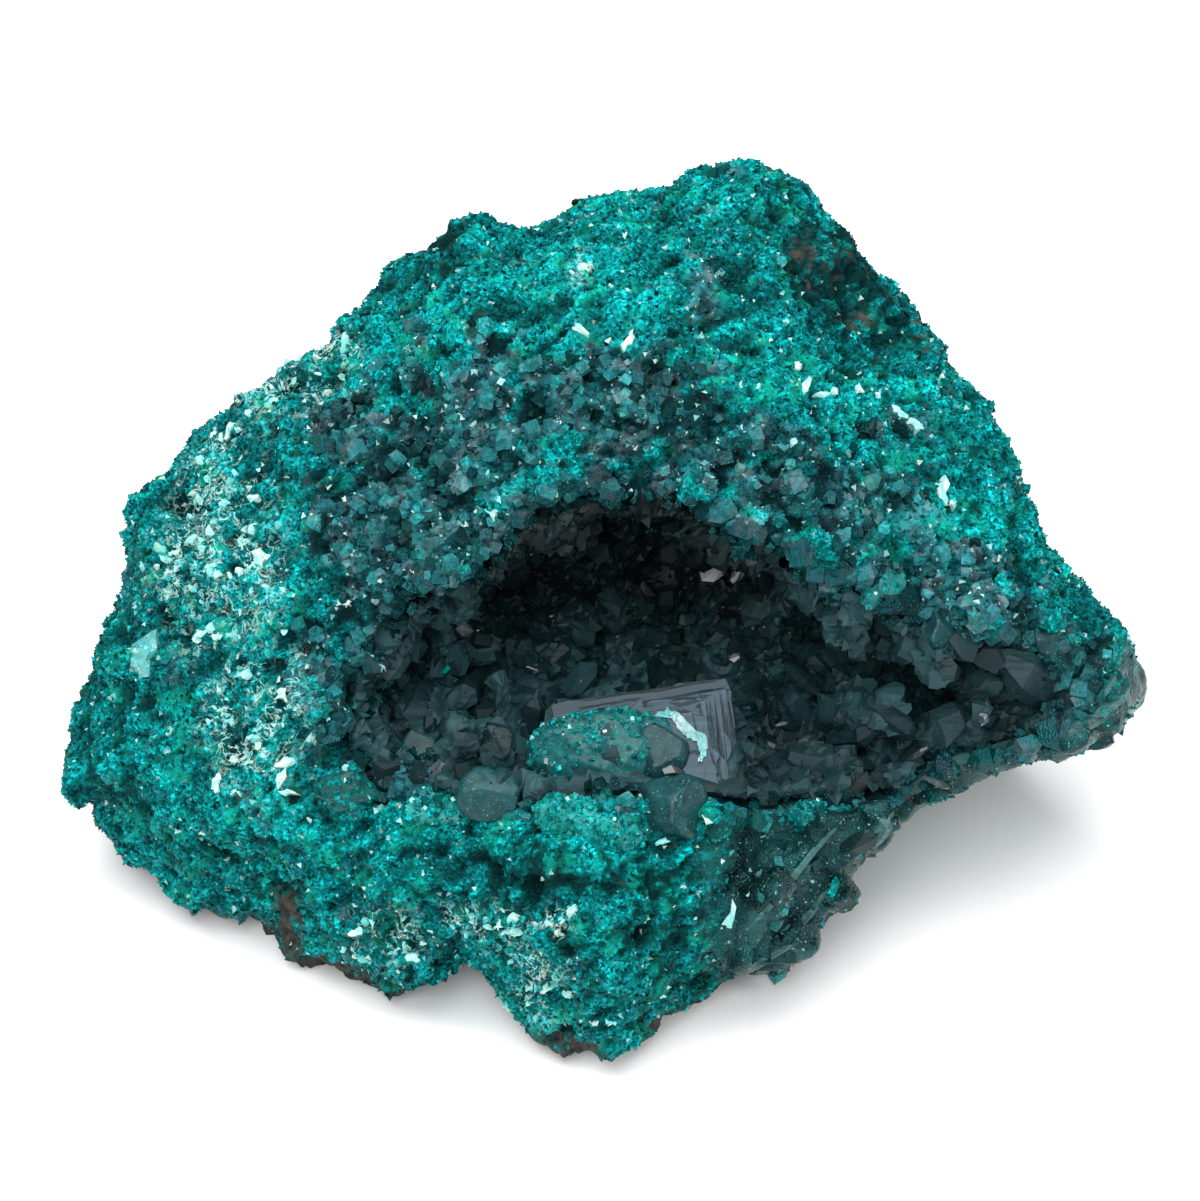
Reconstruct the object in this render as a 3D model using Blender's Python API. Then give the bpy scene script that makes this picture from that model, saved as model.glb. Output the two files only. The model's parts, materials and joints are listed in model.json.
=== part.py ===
"""A dioptase specimen: a lump of rock coated with small green crystals, broken open into a hollow.

The lump lies on its rough underside. X runs along it, Z is up, and its hollow looks out towards -Y
and up. The hollow is lined with one crust of larger dioptase crystals.
"""

import math
import random

import bmesh
import bpy
import numpy as np
from mathutils import Matrix, Vector, noise
from mathutils.bvhtree import BVHTree

MM = 0.001

# The hollow looks out this far above the horizon. The lump is shaped about that line: places on it
# are given in millimetres as (across, up, out), where up and out lean back with the line of sight,
# measured from the tip of the front foot.
LOOK_UP = math.radians(35.0)
ACROSS = Vector((1.0, 0.0, 0.0))
RISE = Vector((0.0, math.sin(LOOK_UP), math.cos(LOOK_UP)))
OUT = Vector((0.0, -math.cos(LOOK_UP), math.sin(LOOK_UP)))
FRONT_FOOT = Vector((-0.26, -20.8, 0.0))

# The lump's widest edge, anticlockwise from the right-hand arm.
STONE_RIM = (
    (29.6, 23.0, -9.0),
    (25.7, 27.4, -7.0),
    (21.4, 32.5, -6.0),
    (18.6, 38.3, -6.0),
    (18.2, 40.8, -6.0),
    (16.9, 42.7, -6.3),
    (14.8, 43.8, -6.6),
    (11.6, 46.9, -7.0),
    (9.9, 48.2, -6.5),
    (4.6, 47.3, -7.0),
    (0.1, 47.1, -7.5),
    (-4.0, 45.7, -7.5),
    (-6.3, 46.4, -5.8),
    (-8.3, 45.7, -6.2),
    (-11.2, 42.8, -8.0),
    (-12.3, 40.2, -8.5),
    (-14.6, 39.5, -8.8),
    (-17.6, 37.4, -8.8),
    (-21.2, 34.9, -8.4),
    (-24.9, 31.1, -8.2),
    (-26.0, 29.6, -8.4),
    (-26.2, 24.9, -10.5),
    (-28.2, 22.6, -12.0),
    (-29.3, 20.0, -12.8),
    (-31.3, 17.0, -13.4),
    (-32.4, 14.2, -14.0),
    (-28.8, 12.1, -12.5),
    (-27.0, 10.0, -11.0),
    (-24.3, 8.6, -9.5),
    (-21.9, 7.3, -8.8),
    (-18.0, 7.5, -8.0),
    (-17.3, 5.3, -7.0),
    (-14.8, 5.0, -6.4),
    (-10.9, 3.3, -4.4),
    (-8.0, 6.7, -3.6),
    (-4.9, 4.6, -2.4),
    (-3.6, 2.5, -1.2),
    (-1.9, 1.1, -0.4),
    (2.0, 0.9, 0.0),
    (4.1, 1.6, -0.4),
    (5.7, 2.9, -1.6),
    (8.0, 5.4, -4.0),
    (10.3, 5.3, -5.0),
    (13.4, 7.1, -6.5),
    (15.9, 9.9, -7.0),
    (18.2, 12.4, -8.0),
    (20.9, 14.9, -9.5),
    (25.4, 15.8, -10.0),
    (30.1, 17.3, -10.0),
    (30.8, 19.9, -9.5),
)
STONE_MIDDLE = (0.0, 23.0, -8.0)
STONE_FRONT = 10.8
STONE_BACK = 24.0
STONE_BOXINESS = 2.5
# The share of the way out from the middle at which the rim's own corners begin to show.
RIM_DETAIL_FROM = 0.72

# Faces along which the lump broke: a place on each and the way it looks, as (across, up, out).
BROKEN_FACES = (
    ((13.5, 41.5, -2.0), (0.62, 0.42, 0.66)),
    ((-3.0, 42.5, -1.6), (-0.10, 0.74, 0.66)),
    ((-17.5, 31.0, -1.8), (-0.55, 0.52, 0.65)),
    ((-21.0, 12.5, -3.0), (-0.45, -0.58, 0.68)),
    ((22.5, 27.0, -2.4), (0.58, 0.48, 0.66)),
    ((12.5, 8.5, -1.2), (0.50, -0.52, 0.69)),
    ((0.0, 36.0, -27.5), (0.05, 0.55, -0.83)),
    ((-19.0, 28.0, -21.0), (-0.75, 0.10, -0.65)),
    ((18.0, 30.0, -21.0), (0.70, 0.25, -0.67)),
    ((3.0, 47.0, -15.0), (0.10, 0.95, -0.30)),
    ((25.0, 16.0, -16.0), (0.72, -0.52, -0.46)),
)
BREAK_FLATNESS = 0.8

# Lumps and dents: place, radius, and how far each stands out.
LUMPS = (
    ((-20.0, 15.5, -4.0), 6.5, 1.0),
    ((-11.5, 8.0, -1.0), 4.5, 0.9),
    ((0.5, 8.5, 4.0), 6.5, 1.2),
    ((-13.5, 30.5, 0.0), 6.0, -1.1),
    ((4.0, 35.5, 1.0), 8.0, 0.9),
    ((8.0, 42.0, -2.5), 3.0, 1.2),
    ((15.0, 38.0, -3.0), 5.0, -0.9),
    ((-5.0, 41.5, -3.0), 5.0, 0.9),
    ((12.0, 9.0, -2.0), 4.0, -0.8),
    ((-7.5, 8.0, 1.0), 2.8, -1.6),
    ((-24.0, 24.0, -6.0), 3.5, 0.7),
    ((-16.0, 22.5, -3.0), 4.5, 0.8),
    ((21.0, 10.0, -13.0), 6.0, -1.2),
)

# Feet on the underside, x and y in millimetres, and the radius of each.
FEET = (
    (1.0, -16.5, 3.6),
    (-17.0, -6.0, 4.2),
    (14.5, -4.0, 4.0),
    (-9.0, 13.0, 4.4),
    (11.0, 14.0, 4.8),
)
UNDERSIDE_HEIGHT = 2.5
FOOT_DROP = 4.4

# Roughness of the coated rock: cell size and height in millimetres.
KNOBS = (3.4, 0.9)
GRAIN = (1.8, 0.42)
SWELLS = (10.0, 1.3)

# The mouth of the hollow, anticlockwise from its right-hand corner, and how deep the hollow goes.
MOUTH_RIM = (
    (27.3, 20.5, -5.0),
    (25.1, 22.1, -3.5),
    (22.2, 22.7, -2.0),
    (17.2, 23.9, 0.0),
    (13.4, 25.4, 1.5),
    (8.5, 27.7, 2.5),
    (4.8, 30.2, 3.0),
    (2.2, 30.9, 3.0),
    (-1.5, 30.1, 2.5),
    (-4.2, 29.1, 2.0),
    (-6.3, 26.9, 1.5),
    (-9.5, 24.8, 0.5),
    (-12.2, 22.7, -0.5),
    (-13.6, 20.0, -0.5),
    (-13.4, 17.1, 0.5),
    (-11.9, 15.3, 1.5),
    (-8.4, 14.5, 2.5),
    (-2.0, 14.3, 3.5),
    (4.8, 14.8, 3.5),
    (7.4, 13.9, 3.5),
    (11.7, 13.9, 2.5),
    (16.0, 14.3, 1.0),
    (18.8, 15.2, -0.5),
    (23.3, 17.3, -2.5),
)
MOUTH_MIDDLE = (4.5, 20.5, 1.0)
HOLLOW_REACH = 14.0
HOLLOW_DEPTH = 12.5
HOLLOW_LIFT = 2.5
HOLLOW_BOXINESS = 2.7
CRUST_GAP = 0.35
CRUST_THICKNESS = 1.2

# Larger crystals inside the hollow: where each stands on its wall, the way its point looks, radius,
# length, and turn about the axis in degrees.
HOLLOW_CRYSTALS = (
    ((6.4, 26.3, -9.1), (0.10, -0.50, 1.00), 1.45, 3.6, 20),
    ((8.0, 26.0, -7.1), (0.50, -0.50, 0.80), 0.95, 2.8, 50),
    ((12.4, 21.4, -11.1), (0.90, 0.10, 0.60), 1.25, 4.6, 10),
    ((10.4, 22.6, -11.1), (-0.60, 0.20, 0.90), 1.15, 3.8, 35),
    ((23.6, 19.8, -5.4), (-0.80, 0.35, 0.60), 1.90, 6.0, 15),
    ((19.8, 18.2, -5.2), (0.10, 0.10, 1.00), 1.45, 3.8, 0),
    ((16.2, 17.0, -3.8), (-0.40, 0.50, 0.80), 1.50, 4.2, 25),
    ((13.0, 17.4, -4.6), (0.20, 0.60, 0.80), 1.60, 4.2, 45),
    ((-7.2, 23.3, -8.4), (0.30, -0.40, 0.90), 1.20, 3.4, 5),
    ((-9.8, 18.0, -4.6), (0.50, 0.30, 0.90), 1.90, 4.2, 30),
    ((-7.6, 15.9, 1.3), (0.20, 0.80, 0.70), 1.20, 3.6, 15),
    ((-5.0, 18.3, -5.3), (0.10, 0.50, 1.00), 1.60, 3.8, 55),
    ((-2.2, 22.0, -9.4), (-0.20, -0.10, 1.00), 1.70, 4.0, 12),
    ((1.4, 25.4, -9.7), (0.20, -0.50, 0.90), 1.50, 3.6, 40),
    ((13.3, 24.8, 0.0), (-0.10, -0.90, 0.60), 1.15, 3.2, 18),
    ((18.2, 22.9, 1.5), (-0.20, -0.90, 0.50), 1.05, 3.0, 50),
    ((10.4, 18.6, -8.1), (0.30, 0.30, 0.90), 1.30, 3.2, 5),
    ((-5.7, 16.1, 0.2), (-0.10, 0.70, 0.90), 1.50, 3.6, 0),
    ((3.3, 16.2, -0.1), (0.10, 0.60, 0.90), 1.45, 3.2, 30),
    ((-0.9, 16.0, 0.4), (0.0, 0.70, 0.80), 1.30, 3.0, 10),
)
SMALL_CRYSTALS = 28
SMALL_CRYSTAL_SPACING = 2.7
SMALL_CRYSTAL_RADIUS = (0.95, 1.5)

# The largest crystal: the top right corner of its flat face, the ways its two edges run from there
# as (across, up, out), and its layers, each with how far it lies in from the corner, how far it
# stands proud, its reach along both edges, and its thickness.
SLAB_CORNER = (6.9, 20.6, 0.2)
SLAB_ALONG = (-1.0, -0.15, -0.05)
SLAB_DOWN = (0.15, -1.0, 0.355)
SLAB_LAYERS = (
    (0.0, 0.0, 9.6, 7.6, 6.5),
    (0.7, 0.45, 7.6, 5.6, 1.2),
    (1.5, 0.85, 5.4, 3.8, 1.2),
)
# The mass of small crystals grown over the largest crystal.
DOME_PLACE = (0.7, 16.6, 1.3)
DOME_RADII = (4.2, 2.3, 1.9)

# Large crystals and broken blades on the outside: as those of the hollow.
OUTER_CRYSTALS = (
    ((10.3, 10.6, 0.9), (0.55, 0.80, 0.25), 1.25, 7.0, 10),
    ((8.6, 8.6, 2.9), (0.30, 0.70, 0.75), 1.50, 3.6, 30),
    ((12.6, 11.6, 0.1), (0.60, 0.55, 0.55), 1.30, 5.0, 40),
    ((14.4, 12.6, -0.7), (0.45, 0.35, 0.85), 1.25, 3.0, 0),
    ((10.4, 6.9, -0.2), (0.10, -0.15, 1.00), 1.70, 2.4, 20),
    ((8.0, 6.2, 0.9), (-0.10, -0.20, 1.00), 1.30, 2.2, 50),
    ((12.6, 8.8, -2.3), (0.30, 0.10, 0.95), 1.40, 2.6, 15),
    ((18.0, 14.9, -3.1), (0.35, -0.20, 0.90), 1.30, 2.4, 35),
    ((21.6, 16.6, -3.4), (0.50, 0.15, 0.85), 1.40, 2.6, 5),
    ((25.6, 17.6, -3.4), (0.35, -0.20, 0.90), 1.30, 2.4, 25),
    ((27.6, 20.0, -3.9), (0.35, 0.10, 0.95), 1.30, 2.0, 45),
    ((24.2, 23.6, -2.5), (0.25, 0.30, 0.90), 1.20, 2.2, 15),
    ((-13.3, 14.6, 0.3), (-0.35, 0.45, 0.85), 1.10, 2.6, 20),
    ((-14.4, 18.6, 0.0), (-0.30, 0.25, 0.95), 1.10, 2.6, 10),
    ((5.9, 13.0, 4.0), (0.15, 0.25, 0.95), 1.40, 2.6, 35),
    ((-25.8, 21.2, -5.6), (-0.35, 0.40, 0.85), 0.90, 1.8, 60),
    ((-28.3, 14.6, -8.2), (-0.70, -0.40, 0.55), 1.20, 1.9, 0),
    ((4.9, 31.6, 3.5), (0.10, -0.55, 0.80), 1.10, 2.6, 5),
    ((-7.6, 27.6, 2.6), (-0.15, -0.45, 0.90), 1.10, 2.6, 45),
    ((11.6, 27.6, 2.7), (0.20, -0.40, 0.90), 1.10, 2.4, 30),
    ((20.2, 24.8, 0.2), (0.25, -0.40, 0.90), 1.10, 2.6, 0),
)

STONE_TRIANGLES = 3450

GREEN_COAT = ("dioptase_coat", (0.010, 0.170, 0.150, 1.0), 0.45)
GREEN_GLASS = ("dioptase_crystals", (0.014, 0.060, 0.058, 1.0), 0.18)


def place(across, up, out):
    """The point in millimetres at these distances along the hollow's own directions."""
    return FRONT_FOOT + across * ACROSS + up * RISE + out * OUT


def heading(across, up, out):
    return (across * ACROSS + up * RISE + out * OUT).normalized()


def add_object(name, bm, collection):
    mesh = bpy.data.meshes.new(name)
    bm.to_mesh(mesh)
    bm.free()
    obj = bpy.data.objects.new(name, mesh)
    collection.objects.link(obj)
    return obj


def smooth_loop(points, rounds):
    for _ in range(rounds):
        points = (np.roll(points, 1, axis=0) + 2 * points + np.roll(points, -1, axis=0)) / 4
    return points


def follow_rim(angles, rim, middle, rounds):
    """Points of the rim at these turns about its middle, with its corners worn down by rounds."""
    loop = np.array(rim + rim[:1])
    steps = np.linspace(0, 1, 16, endpoint=False)
    dense = np.concatenate([a + (b - a) * steps[:, None] for a, b in zip(loop[:-1], loop[1:])])
    away = dense - np.array(middle)
    turn = np.arctan2(away[:, 1], away[:, 0])
    order = np.argsort(turn)
    turn, dense = turn[order], dense[order]
    grid = np.linspace(-math.pi, math.pi, 360, endpoint=False)
    turns = np.concatenate([turn - 2 * math.pi, turn, turn + 2 * math.pi])
    tripled = np.vstack([dense, dense, dense])
    even = np.stack([np.interp(grid, turns, tripled[:, k]) for k in range(3)], axis=1)
    even = smooth_loop(even, rounds)
    closed = np.vstack([even, even[:1]])
    grid = np.append(grid, math.pi)
    return np.stack([np.interp(angles, grid, closed[:, k]) for k in range(3)], axis=1)


def dome_points(directions, rim, middle, front, back, boxiness, lift):
    """Turns unit directions into a closed form whose widest edge is the rim."""
    a, b, c = directions.T
    angle = np.arctan2(b, a)
    sharp = follow_rim(angle, rim, middle, 2)
    worn = follow_rim(angle, rim, middle, 220)
    share = 2 / boxiness
    spread = np.hypot(a, b) ** share
    mix = np.clip((spread - RIM_DETAIL_FROM) / (1 - RIM_DETAIL_FROM), 0, 1) ** 1.5
    edge = worn + (sharp - worn) * mix[:, None]
    along = np.sign(c) * np.abs(c) ** share
    reach = np.where(c > 0, front, back) * along
    points = np.array(middle) + spread[:, None] * (edge - np.array(middle))
    points[:, 2] += reach
    points[:, 1] += lift * np.clip(-along, 0, None)
    return points


def dome(bm, rim, middle, front, back, boxiness, lift=0.0):
    """Turns the unit ball in bm into the closed form that a rim and its two poles give."""
    directions = np.array([vertex.co for vertex in bm.verts])
    points = dome_points(directions, rim, middle, front, back, boxiness, lift)
    for vertex, point in zip(bm.verts, points.tolist()):
        vertex.co = place(*point)
    bmesh.ops.recalc_face_normals(bm, faces=bm.faces)
    bm.normal_update()


def roughness(point):
    """How far the coated rock stands out of its plain form here, in millimetres."""
    knob = 0.5 - noise.voronoi(point / KNOBS[0])[0][0]
    grain = 0.5 - noise.voronoi(point / GRAIN[0])[0][0]
    swell = noise.fractal(point / SWELLS[0], 0.9, 2.0, 3)
    return knob * KNOBS[1] + grain * GRAIN[1] + swell * SWELLS[1] - 0.05


def broken(point):
    """The point pressed back to the faces along which the lump broke."""
    for on_face, looks in BROKEN_FACES:
        away = heading(*looks)
        beyond = (point - place(*on_face)).dot(away)
        if beyond > 0:
            point = point - away * beyond * BREAK_FLATNESS
    return point


def lumpiness(point, lumps):
    total = 0.0
    for centre, radius, height in lumps:
        total += height * math.exp(-((point - centre).length / radius) ** 2)
    return total


def underside(x, y):
    """The height of the lump's underside here: a rough hollow floor that comes down to feet."""
    height = UNDERSIDE_HEIGHT + 1.5 * noise.noise(Vector((x / 8, y / 8, 3.0)))
    height += 1.2 * (0.5 - noise.voronoi(Vector((x / 3.6, y / 3.6, 5.0)))[0][0])
    wobble = 1.0 + 0.5 * noise.noise(Vector((x / 3, y / 3, 8.0)))
    for foot_x, foot_y, radius in FEET:
        height -= FOOT_DROP * math.exp(-(math.hypot(x - foot_x, y - foot_y) * wobble / radius) ** 4)
    return height


def lump_form():
    """The whole lump before it is cut, in millimetres."""
    bm = bmesh.new()
    bmesh.ops.create_icosphere(bm, subdivisions=6, radius=1.0)
    depths = [vertex.co.z for vertex in bm.verts]
    dome(bm, STONE_RIM, STONE_MIDDLE, STONE_FRONT, STONE_BACK, STONE_BOXINESS)
    for vertex in bm.verts:
        vertex.co = broken(vertex.co)
    bm.normal_update()
    lumps = [(place(*centre), radius, height) for centre, radius, height in LUMPS]
    for vertex in bm.verts:
        vertex.co += vertex.normal * (roughness(vertex.co) + lumpiness(vertex.co, lumps))
    for vertex, depth in zip(bm.verts, depths):
        low = underside(vertex.co.x, vertex.co.y)
        over = vertex.co.z - low
        if over < 1.5:
            rested = low + 0.5 * (over + math.sqrt(over * over + 0.3))
            behind_rim = min(max((-depth - 0.05) / 0.25, 0.0), 1.0)
            vertex.co.z += (rested - vertex.co.z) * behind_rim
    bm.normal_update()
    return bm


def hollow_form(inset, around=44, rings=12):
    """The room of the hollow, drawn in by the inset, and by half of its crust's part at the mouth."""
    bm = bmesh.new()
    bmesh.ops.create_uvsphere(bm, u_segments=around, v_segments=rings, radius=1.0)
    depths = [vertex.co.z for vertex in bm.verts]
    dome(bm, MOUTH_RIM, MOUTH_MIDDLE, HOLLOW_REACH, HOLLOW_DEPTH, HOLLOW_BOXINESS, HOLLOW_LIFT)
    crust_part = max(inset - CRUST_GAP, 0.0)
    for vertex, depth in zip(bm.verts, depths):
        near_mouth = min(max(1.0 + depth / 0.5, 0.0), 1.0)
        drawn_in = inset - 0.5 * near_mouth * crust_part
        vertex.co -= vertex.normal * (drawn_in - 1.2 * noise.noise(vertex.co / 2.6))
    bmesh.ops.triangulate(bm, faces=bm.faces)
    bm.normal_update()
    return bm


def crystal(bm, root, axis, radius, length, turn, squash=1.0):
    """Adds one dioptase crystal: a six-sided column that ends in three rhomb faces."""
    base = axis.to_track_quat("Z", "Y").to_matrix() @ Matrix.Rotation(math.radians(turn), 3, "Z")
    drop = (1.233 * radius, 0.617 * radius)
    low, high = [], []
    for k in range(6):
        angle = k * math.pi / 3
        x, y = radius * math.cos(angle), radius * squash * math.sin(angle)
        low.append(bm.verts.new(root + base @ Vector((x, y, 0))))
        high.append(bm.verts.new(root + base @ Vector((x, y, length - drop[k % 2]))))
    apex = bm.verts.new(root + base @ Vector((0, 0, length)))
    bm.faces.new(low[::-1])
    for k in range(6):
        n = (k + 1) % 6
        bm.faces.new((low[k], low[n], high[n], high[k]))
    for k in (0, 2, 4):
        bm.faces.new((apex, high[k - 1], high[k], high[k + 1]))


def slab_layer(bm, inset, proud, along, down, thickness):
    """Adds one flat layer of the largest crystal."""
    left = heading(*SLAB_ALONG)
    below = heading(*SLAB_DOWN)
    away = left.cross(below).normalized()
    if away.dot(OUT) < 0:
        away = -away
    corner = place(*SLAB_CORNER) + inset * (left + below) + proud * away
    ring = (corner, corner + along * left, corner + along * left + down * below, corner + down * below)
    top = [bm.verts.new(point) for point in ring]
    foot = [bm.verts.new(point - thickness * away) for point in ring]
    faces = [bm.faces.new(top), bm.faces.new(foot[::-1])]
    for k in range(4):
        n = (k + 1) % 4
        faces.append(bm.faces.new((top[k], foot[k], foot[n], top[n])))
    bmesh.ops.recalc_face_normals(bm, faces=faces)


def add_listed_crystals(bm, listed):
    for where, points, radius, length, turn in listed:
        axis = heading(*points)
        sunk = 0.9 * radius
        crystal(bm, place(*where) - axis * sunk, axis, radius, length + sunk, turn, 0.88)


def add_small_crystals(bm, wall, stone_tree):
    rng = random.Random(11)
    spots = [(v.co.copy(), v.normal.copy()) for v in wall.verts]
    rng.shuffle(spots)
    kept = []
    for spot, normal in spots:
        near, outward, _, _ = stone_tree.find_nearest(spot)
        if (spot - near).dot(outward) > -0.2:
            continue
        if any((spot - other).length < SMALL_CRYSTAL_SPACING for other in kept):
            continue
        kept.append(spot)
        lean = Vector([rng.uniform(-0.6, 0.6) for _ in range(3)])
        axis = (-normal + lean).normalized()
        radius = rng.uniform(*SMALL_CRYSTAL_RADIUS)
        length = radius * rng.uniform(1.5, 2.3)
        crystal(bm, spot - axis * radius, axis, radius, length + radius, rng.uniform(0, 60), 0.9)
        if len(kept) == SMALL_CRYSTALS:
            break


def crystal_cluster(wall, stone_tree):
    """All crystals that line the hollow."""
    bm = bmesh.new()
    add_listed_crystals(bm, HOLLOW_CRYSTALS)
    for layer in SLAB_LAYERS:
        slab_layer(bm, *layer)
    add_dome(bm)
    add_small_crystals(bm, wall, stone_tree)
    return bm


def add_dome(bm):
    made = bmesh.ops.create_icosphere(bm, subdivisions=3, radius=1.0)
    centre = place(*DOME_PLACE)
    for vertex in made["verts"]:
        across, up, out = vertex.co
        spot = centre + across * DOME_RADII[0] * ACROSS + up * DOME_RADII[1] * RISE
        spot = spot + out * DOME_RADII[2] * OUT
        vertex.co = spot + 0.3 * noise.noise_vector(spot / 1.3)


def in_metres(bm):
    bmesh.ops.scale(bm, vec=(MM, MM, MM), verts=bm.verts)
    return bm


def hide(obj):
    obj.hide_render = True
    obj.display_type = "WIRE"


def boolean(obj, name, operation, other, use_self=False):
    modifier = obj.modifiers.new(name, "BOOLEAN")
    modifier.operation = operation
    modifier.solver = "EXACT"
    modifier.use_self = use_self
    modifier.object = other


def material(name, colour, roughness_value):
    made = bpy.data.materials.new(name)
    made.use_nodes = True
    shader = made.node_tree.nodes["Principled BSDF"]
    shader.inputs["Base Color"].default_value = colour
    shader.inputs["Roughness"].default_value = roughness_value
    shader.inputs["IOR"].default_value = 1.67
    made.diffuse_color = colour
    return made


def ground_block(collection):
    bm = bmesh.new()
    bmesh.ops.create_cube(bm, size=1.0)
    bmesh.ops.scale(bm, vec=(90, 90, 20), verts=bm.verts)
    bmesh.ops.translate(bm, vec=(0, 0, -10), verts=bm.verts)
    obj = add_object("ground", in_metres(bm), collection)
    hide(obj)
    return obj


def outer_blades(collection):
    bm = bmesh.new()
    add_listed_crystals(bm, OUTER_CRYSTALS)
    obj = add_object("outer_blades", in_metres(bm), collection)
    hide(obj)
    return obj


def hollow_cutter(name, inset, collection):
    obj = add_object(name, in_metres(hollow_form(inset)), collection)
    hide(obj)
    return obj


def matrix_lump(form, blades, hollow, ground, collection):
    obj = add_object("matrix", in_metres(form), collection)
    thin = obj.modifiers.new("fewer_faces", "DECIMATE")
    thin.ratio = STONE_TRIANGLES / len(obj.data.polygons)
    boolean(obj, "outer_blades", "UNION", blades, use_self=True)
    boolean(obj, "hollow", "DIFFERENCE", hollow)
    boolean(obj, "resting_faces", "DIFFERENCE", ground)
    obj.data.materials.append(material(*GREEN_COAT))
    return obj


def crust(stone, crystals, trim, core, collection):
    obj = add_object("cavity_crystals", in_metres(hollow_form(CRUST_GAP)), collection)
    boolean(obj, "inside_the_lump", "INTERSECT", stone)
    boolean(obj, "room", "DIFFERENCE", core)
    boolean(crystals, "within_the_hollow", "INTERSECT", trim, use_self=True)
    boolean(obj, "crystals", "UNION", crystals)
    obj.data.materials.append(material(*GREEN_GLASS))
    return obj


def main():
    for obj in list(bpy.data.objects):
        bpy.data.objects.remove(obj)
    parts = bpy.data.collections.new("dioptase_specimen")
    cutters = bpy.data.collections.new("cutters")
    bpy.context.scene.collection.children.link(parts)
    bpy.context.scene.collection.children.link(cutters)

    form = lump_form()
    stone_tree = BVHTree.FromBMesh(form)
    stone = add_object("uncut_lump", in_metres(form.copy()), cutters)
    hide(stone)
    blades = outer_blades(cutters)
    hollow = hollow_cutter("hollow_room", 0.0, cutters)
    core = hollow_cutter("crust_core", CRUST_GAP + CRUST_THICKNESS, cutters)
    trim = hollow_cutter("crystal_trim", CRUST_GAP + 0.15, cutters)
    ground = ground_block(cutters)
    matrix_lump(form, blades, hollow, ground, parts)

    wall = hollow_form(CRUST_GAP + CRUST_THICKNESS - 0.2, 96, 48)
    cluster = crystal_cluster(wall, stone_tree)
    wall.free()
    crystals = add_object("crystals", in_metres(cluster), cutters)
    hide(crystals)
    crust(stone, crystals, trim, core, parts)


main()
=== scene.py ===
"""The looks of a dioptase specimen: rock coated with small green crystals, round a dark crystal hollow."""

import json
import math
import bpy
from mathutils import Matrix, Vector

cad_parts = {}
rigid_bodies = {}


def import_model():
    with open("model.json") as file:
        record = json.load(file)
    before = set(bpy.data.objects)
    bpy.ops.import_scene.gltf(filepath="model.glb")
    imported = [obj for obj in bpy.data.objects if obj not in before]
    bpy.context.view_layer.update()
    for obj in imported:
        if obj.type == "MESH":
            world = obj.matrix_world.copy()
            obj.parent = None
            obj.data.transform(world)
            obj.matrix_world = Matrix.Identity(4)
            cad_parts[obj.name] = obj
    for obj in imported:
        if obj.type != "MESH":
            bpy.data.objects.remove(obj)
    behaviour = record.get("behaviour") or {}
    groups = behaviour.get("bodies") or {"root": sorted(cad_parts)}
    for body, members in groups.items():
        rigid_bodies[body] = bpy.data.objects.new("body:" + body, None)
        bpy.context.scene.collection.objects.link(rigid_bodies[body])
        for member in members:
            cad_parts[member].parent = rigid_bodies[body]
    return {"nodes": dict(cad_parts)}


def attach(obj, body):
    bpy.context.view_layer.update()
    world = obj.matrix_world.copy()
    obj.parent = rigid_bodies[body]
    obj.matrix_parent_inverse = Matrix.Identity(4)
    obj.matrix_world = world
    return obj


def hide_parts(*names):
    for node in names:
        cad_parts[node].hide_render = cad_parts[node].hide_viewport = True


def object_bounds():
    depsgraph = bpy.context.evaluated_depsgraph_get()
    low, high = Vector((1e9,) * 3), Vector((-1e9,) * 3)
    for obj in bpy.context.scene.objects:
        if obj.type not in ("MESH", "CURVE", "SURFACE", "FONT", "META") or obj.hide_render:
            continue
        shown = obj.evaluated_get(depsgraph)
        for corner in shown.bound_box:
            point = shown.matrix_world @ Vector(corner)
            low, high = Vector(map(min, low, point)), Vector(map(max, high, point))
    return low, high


bl_info = {
    "name": "Dioptase specimen",
    "version": (1, 0, 0),
    "blender": (4, 5, 0),
    "location": "View3D > Sidebar > Dioptase",
    "description": "Dresses the rock lump with its coat of crystals, its hollow and its broken blades",
    "category": "Object",
}

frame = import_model()

import bmesh
import bpy
import numpy as np
from bpy.props import FloatProperty, FloatVectorProperty, IntProperty, PointerProperty
from mathutils import Vector, noise
from mathutils.bvhtree import BVHTree
from mathutils.kdtree import KDTree

MM = 0.001
CAD_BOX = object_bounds()
BOX_LOW, BOX_HIGH = (np.array(corner) / MM for corner in CAD_BOX)

# Places on the lump are given in millimetres as (across, up, out): out looks out of the hollow, 35
# degrees above the horizon, and all three are measured from the tip of the front foot.
LOOK_UP = math.radians(35.0)
LUMP_AXES = np.array(
    (
        (1.0, 0.0, 0.0),
        (0.0, math.sin(LOOK_UP), math.cos(LOOK_UP)),
        (0.0, -math.cos(LOOK_UP), math.sin(LOOK_UP)),
    )
)
ACROSS, RISE, OUT = LUMP_AXES
FRONT_FOOT = np.array((-0.26, -20.8, 0.0))
# How far out the listed zones end and the sides that the photo leaves out begin, and how long both
# take to fade.
ZONES_END, BACK_START, FADE = -13.0, -12.0, 4.0
# An apex of dioptase stands this share of the crystal's radius above the high corners round it.
APEX_RISE = 0.617

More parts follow.
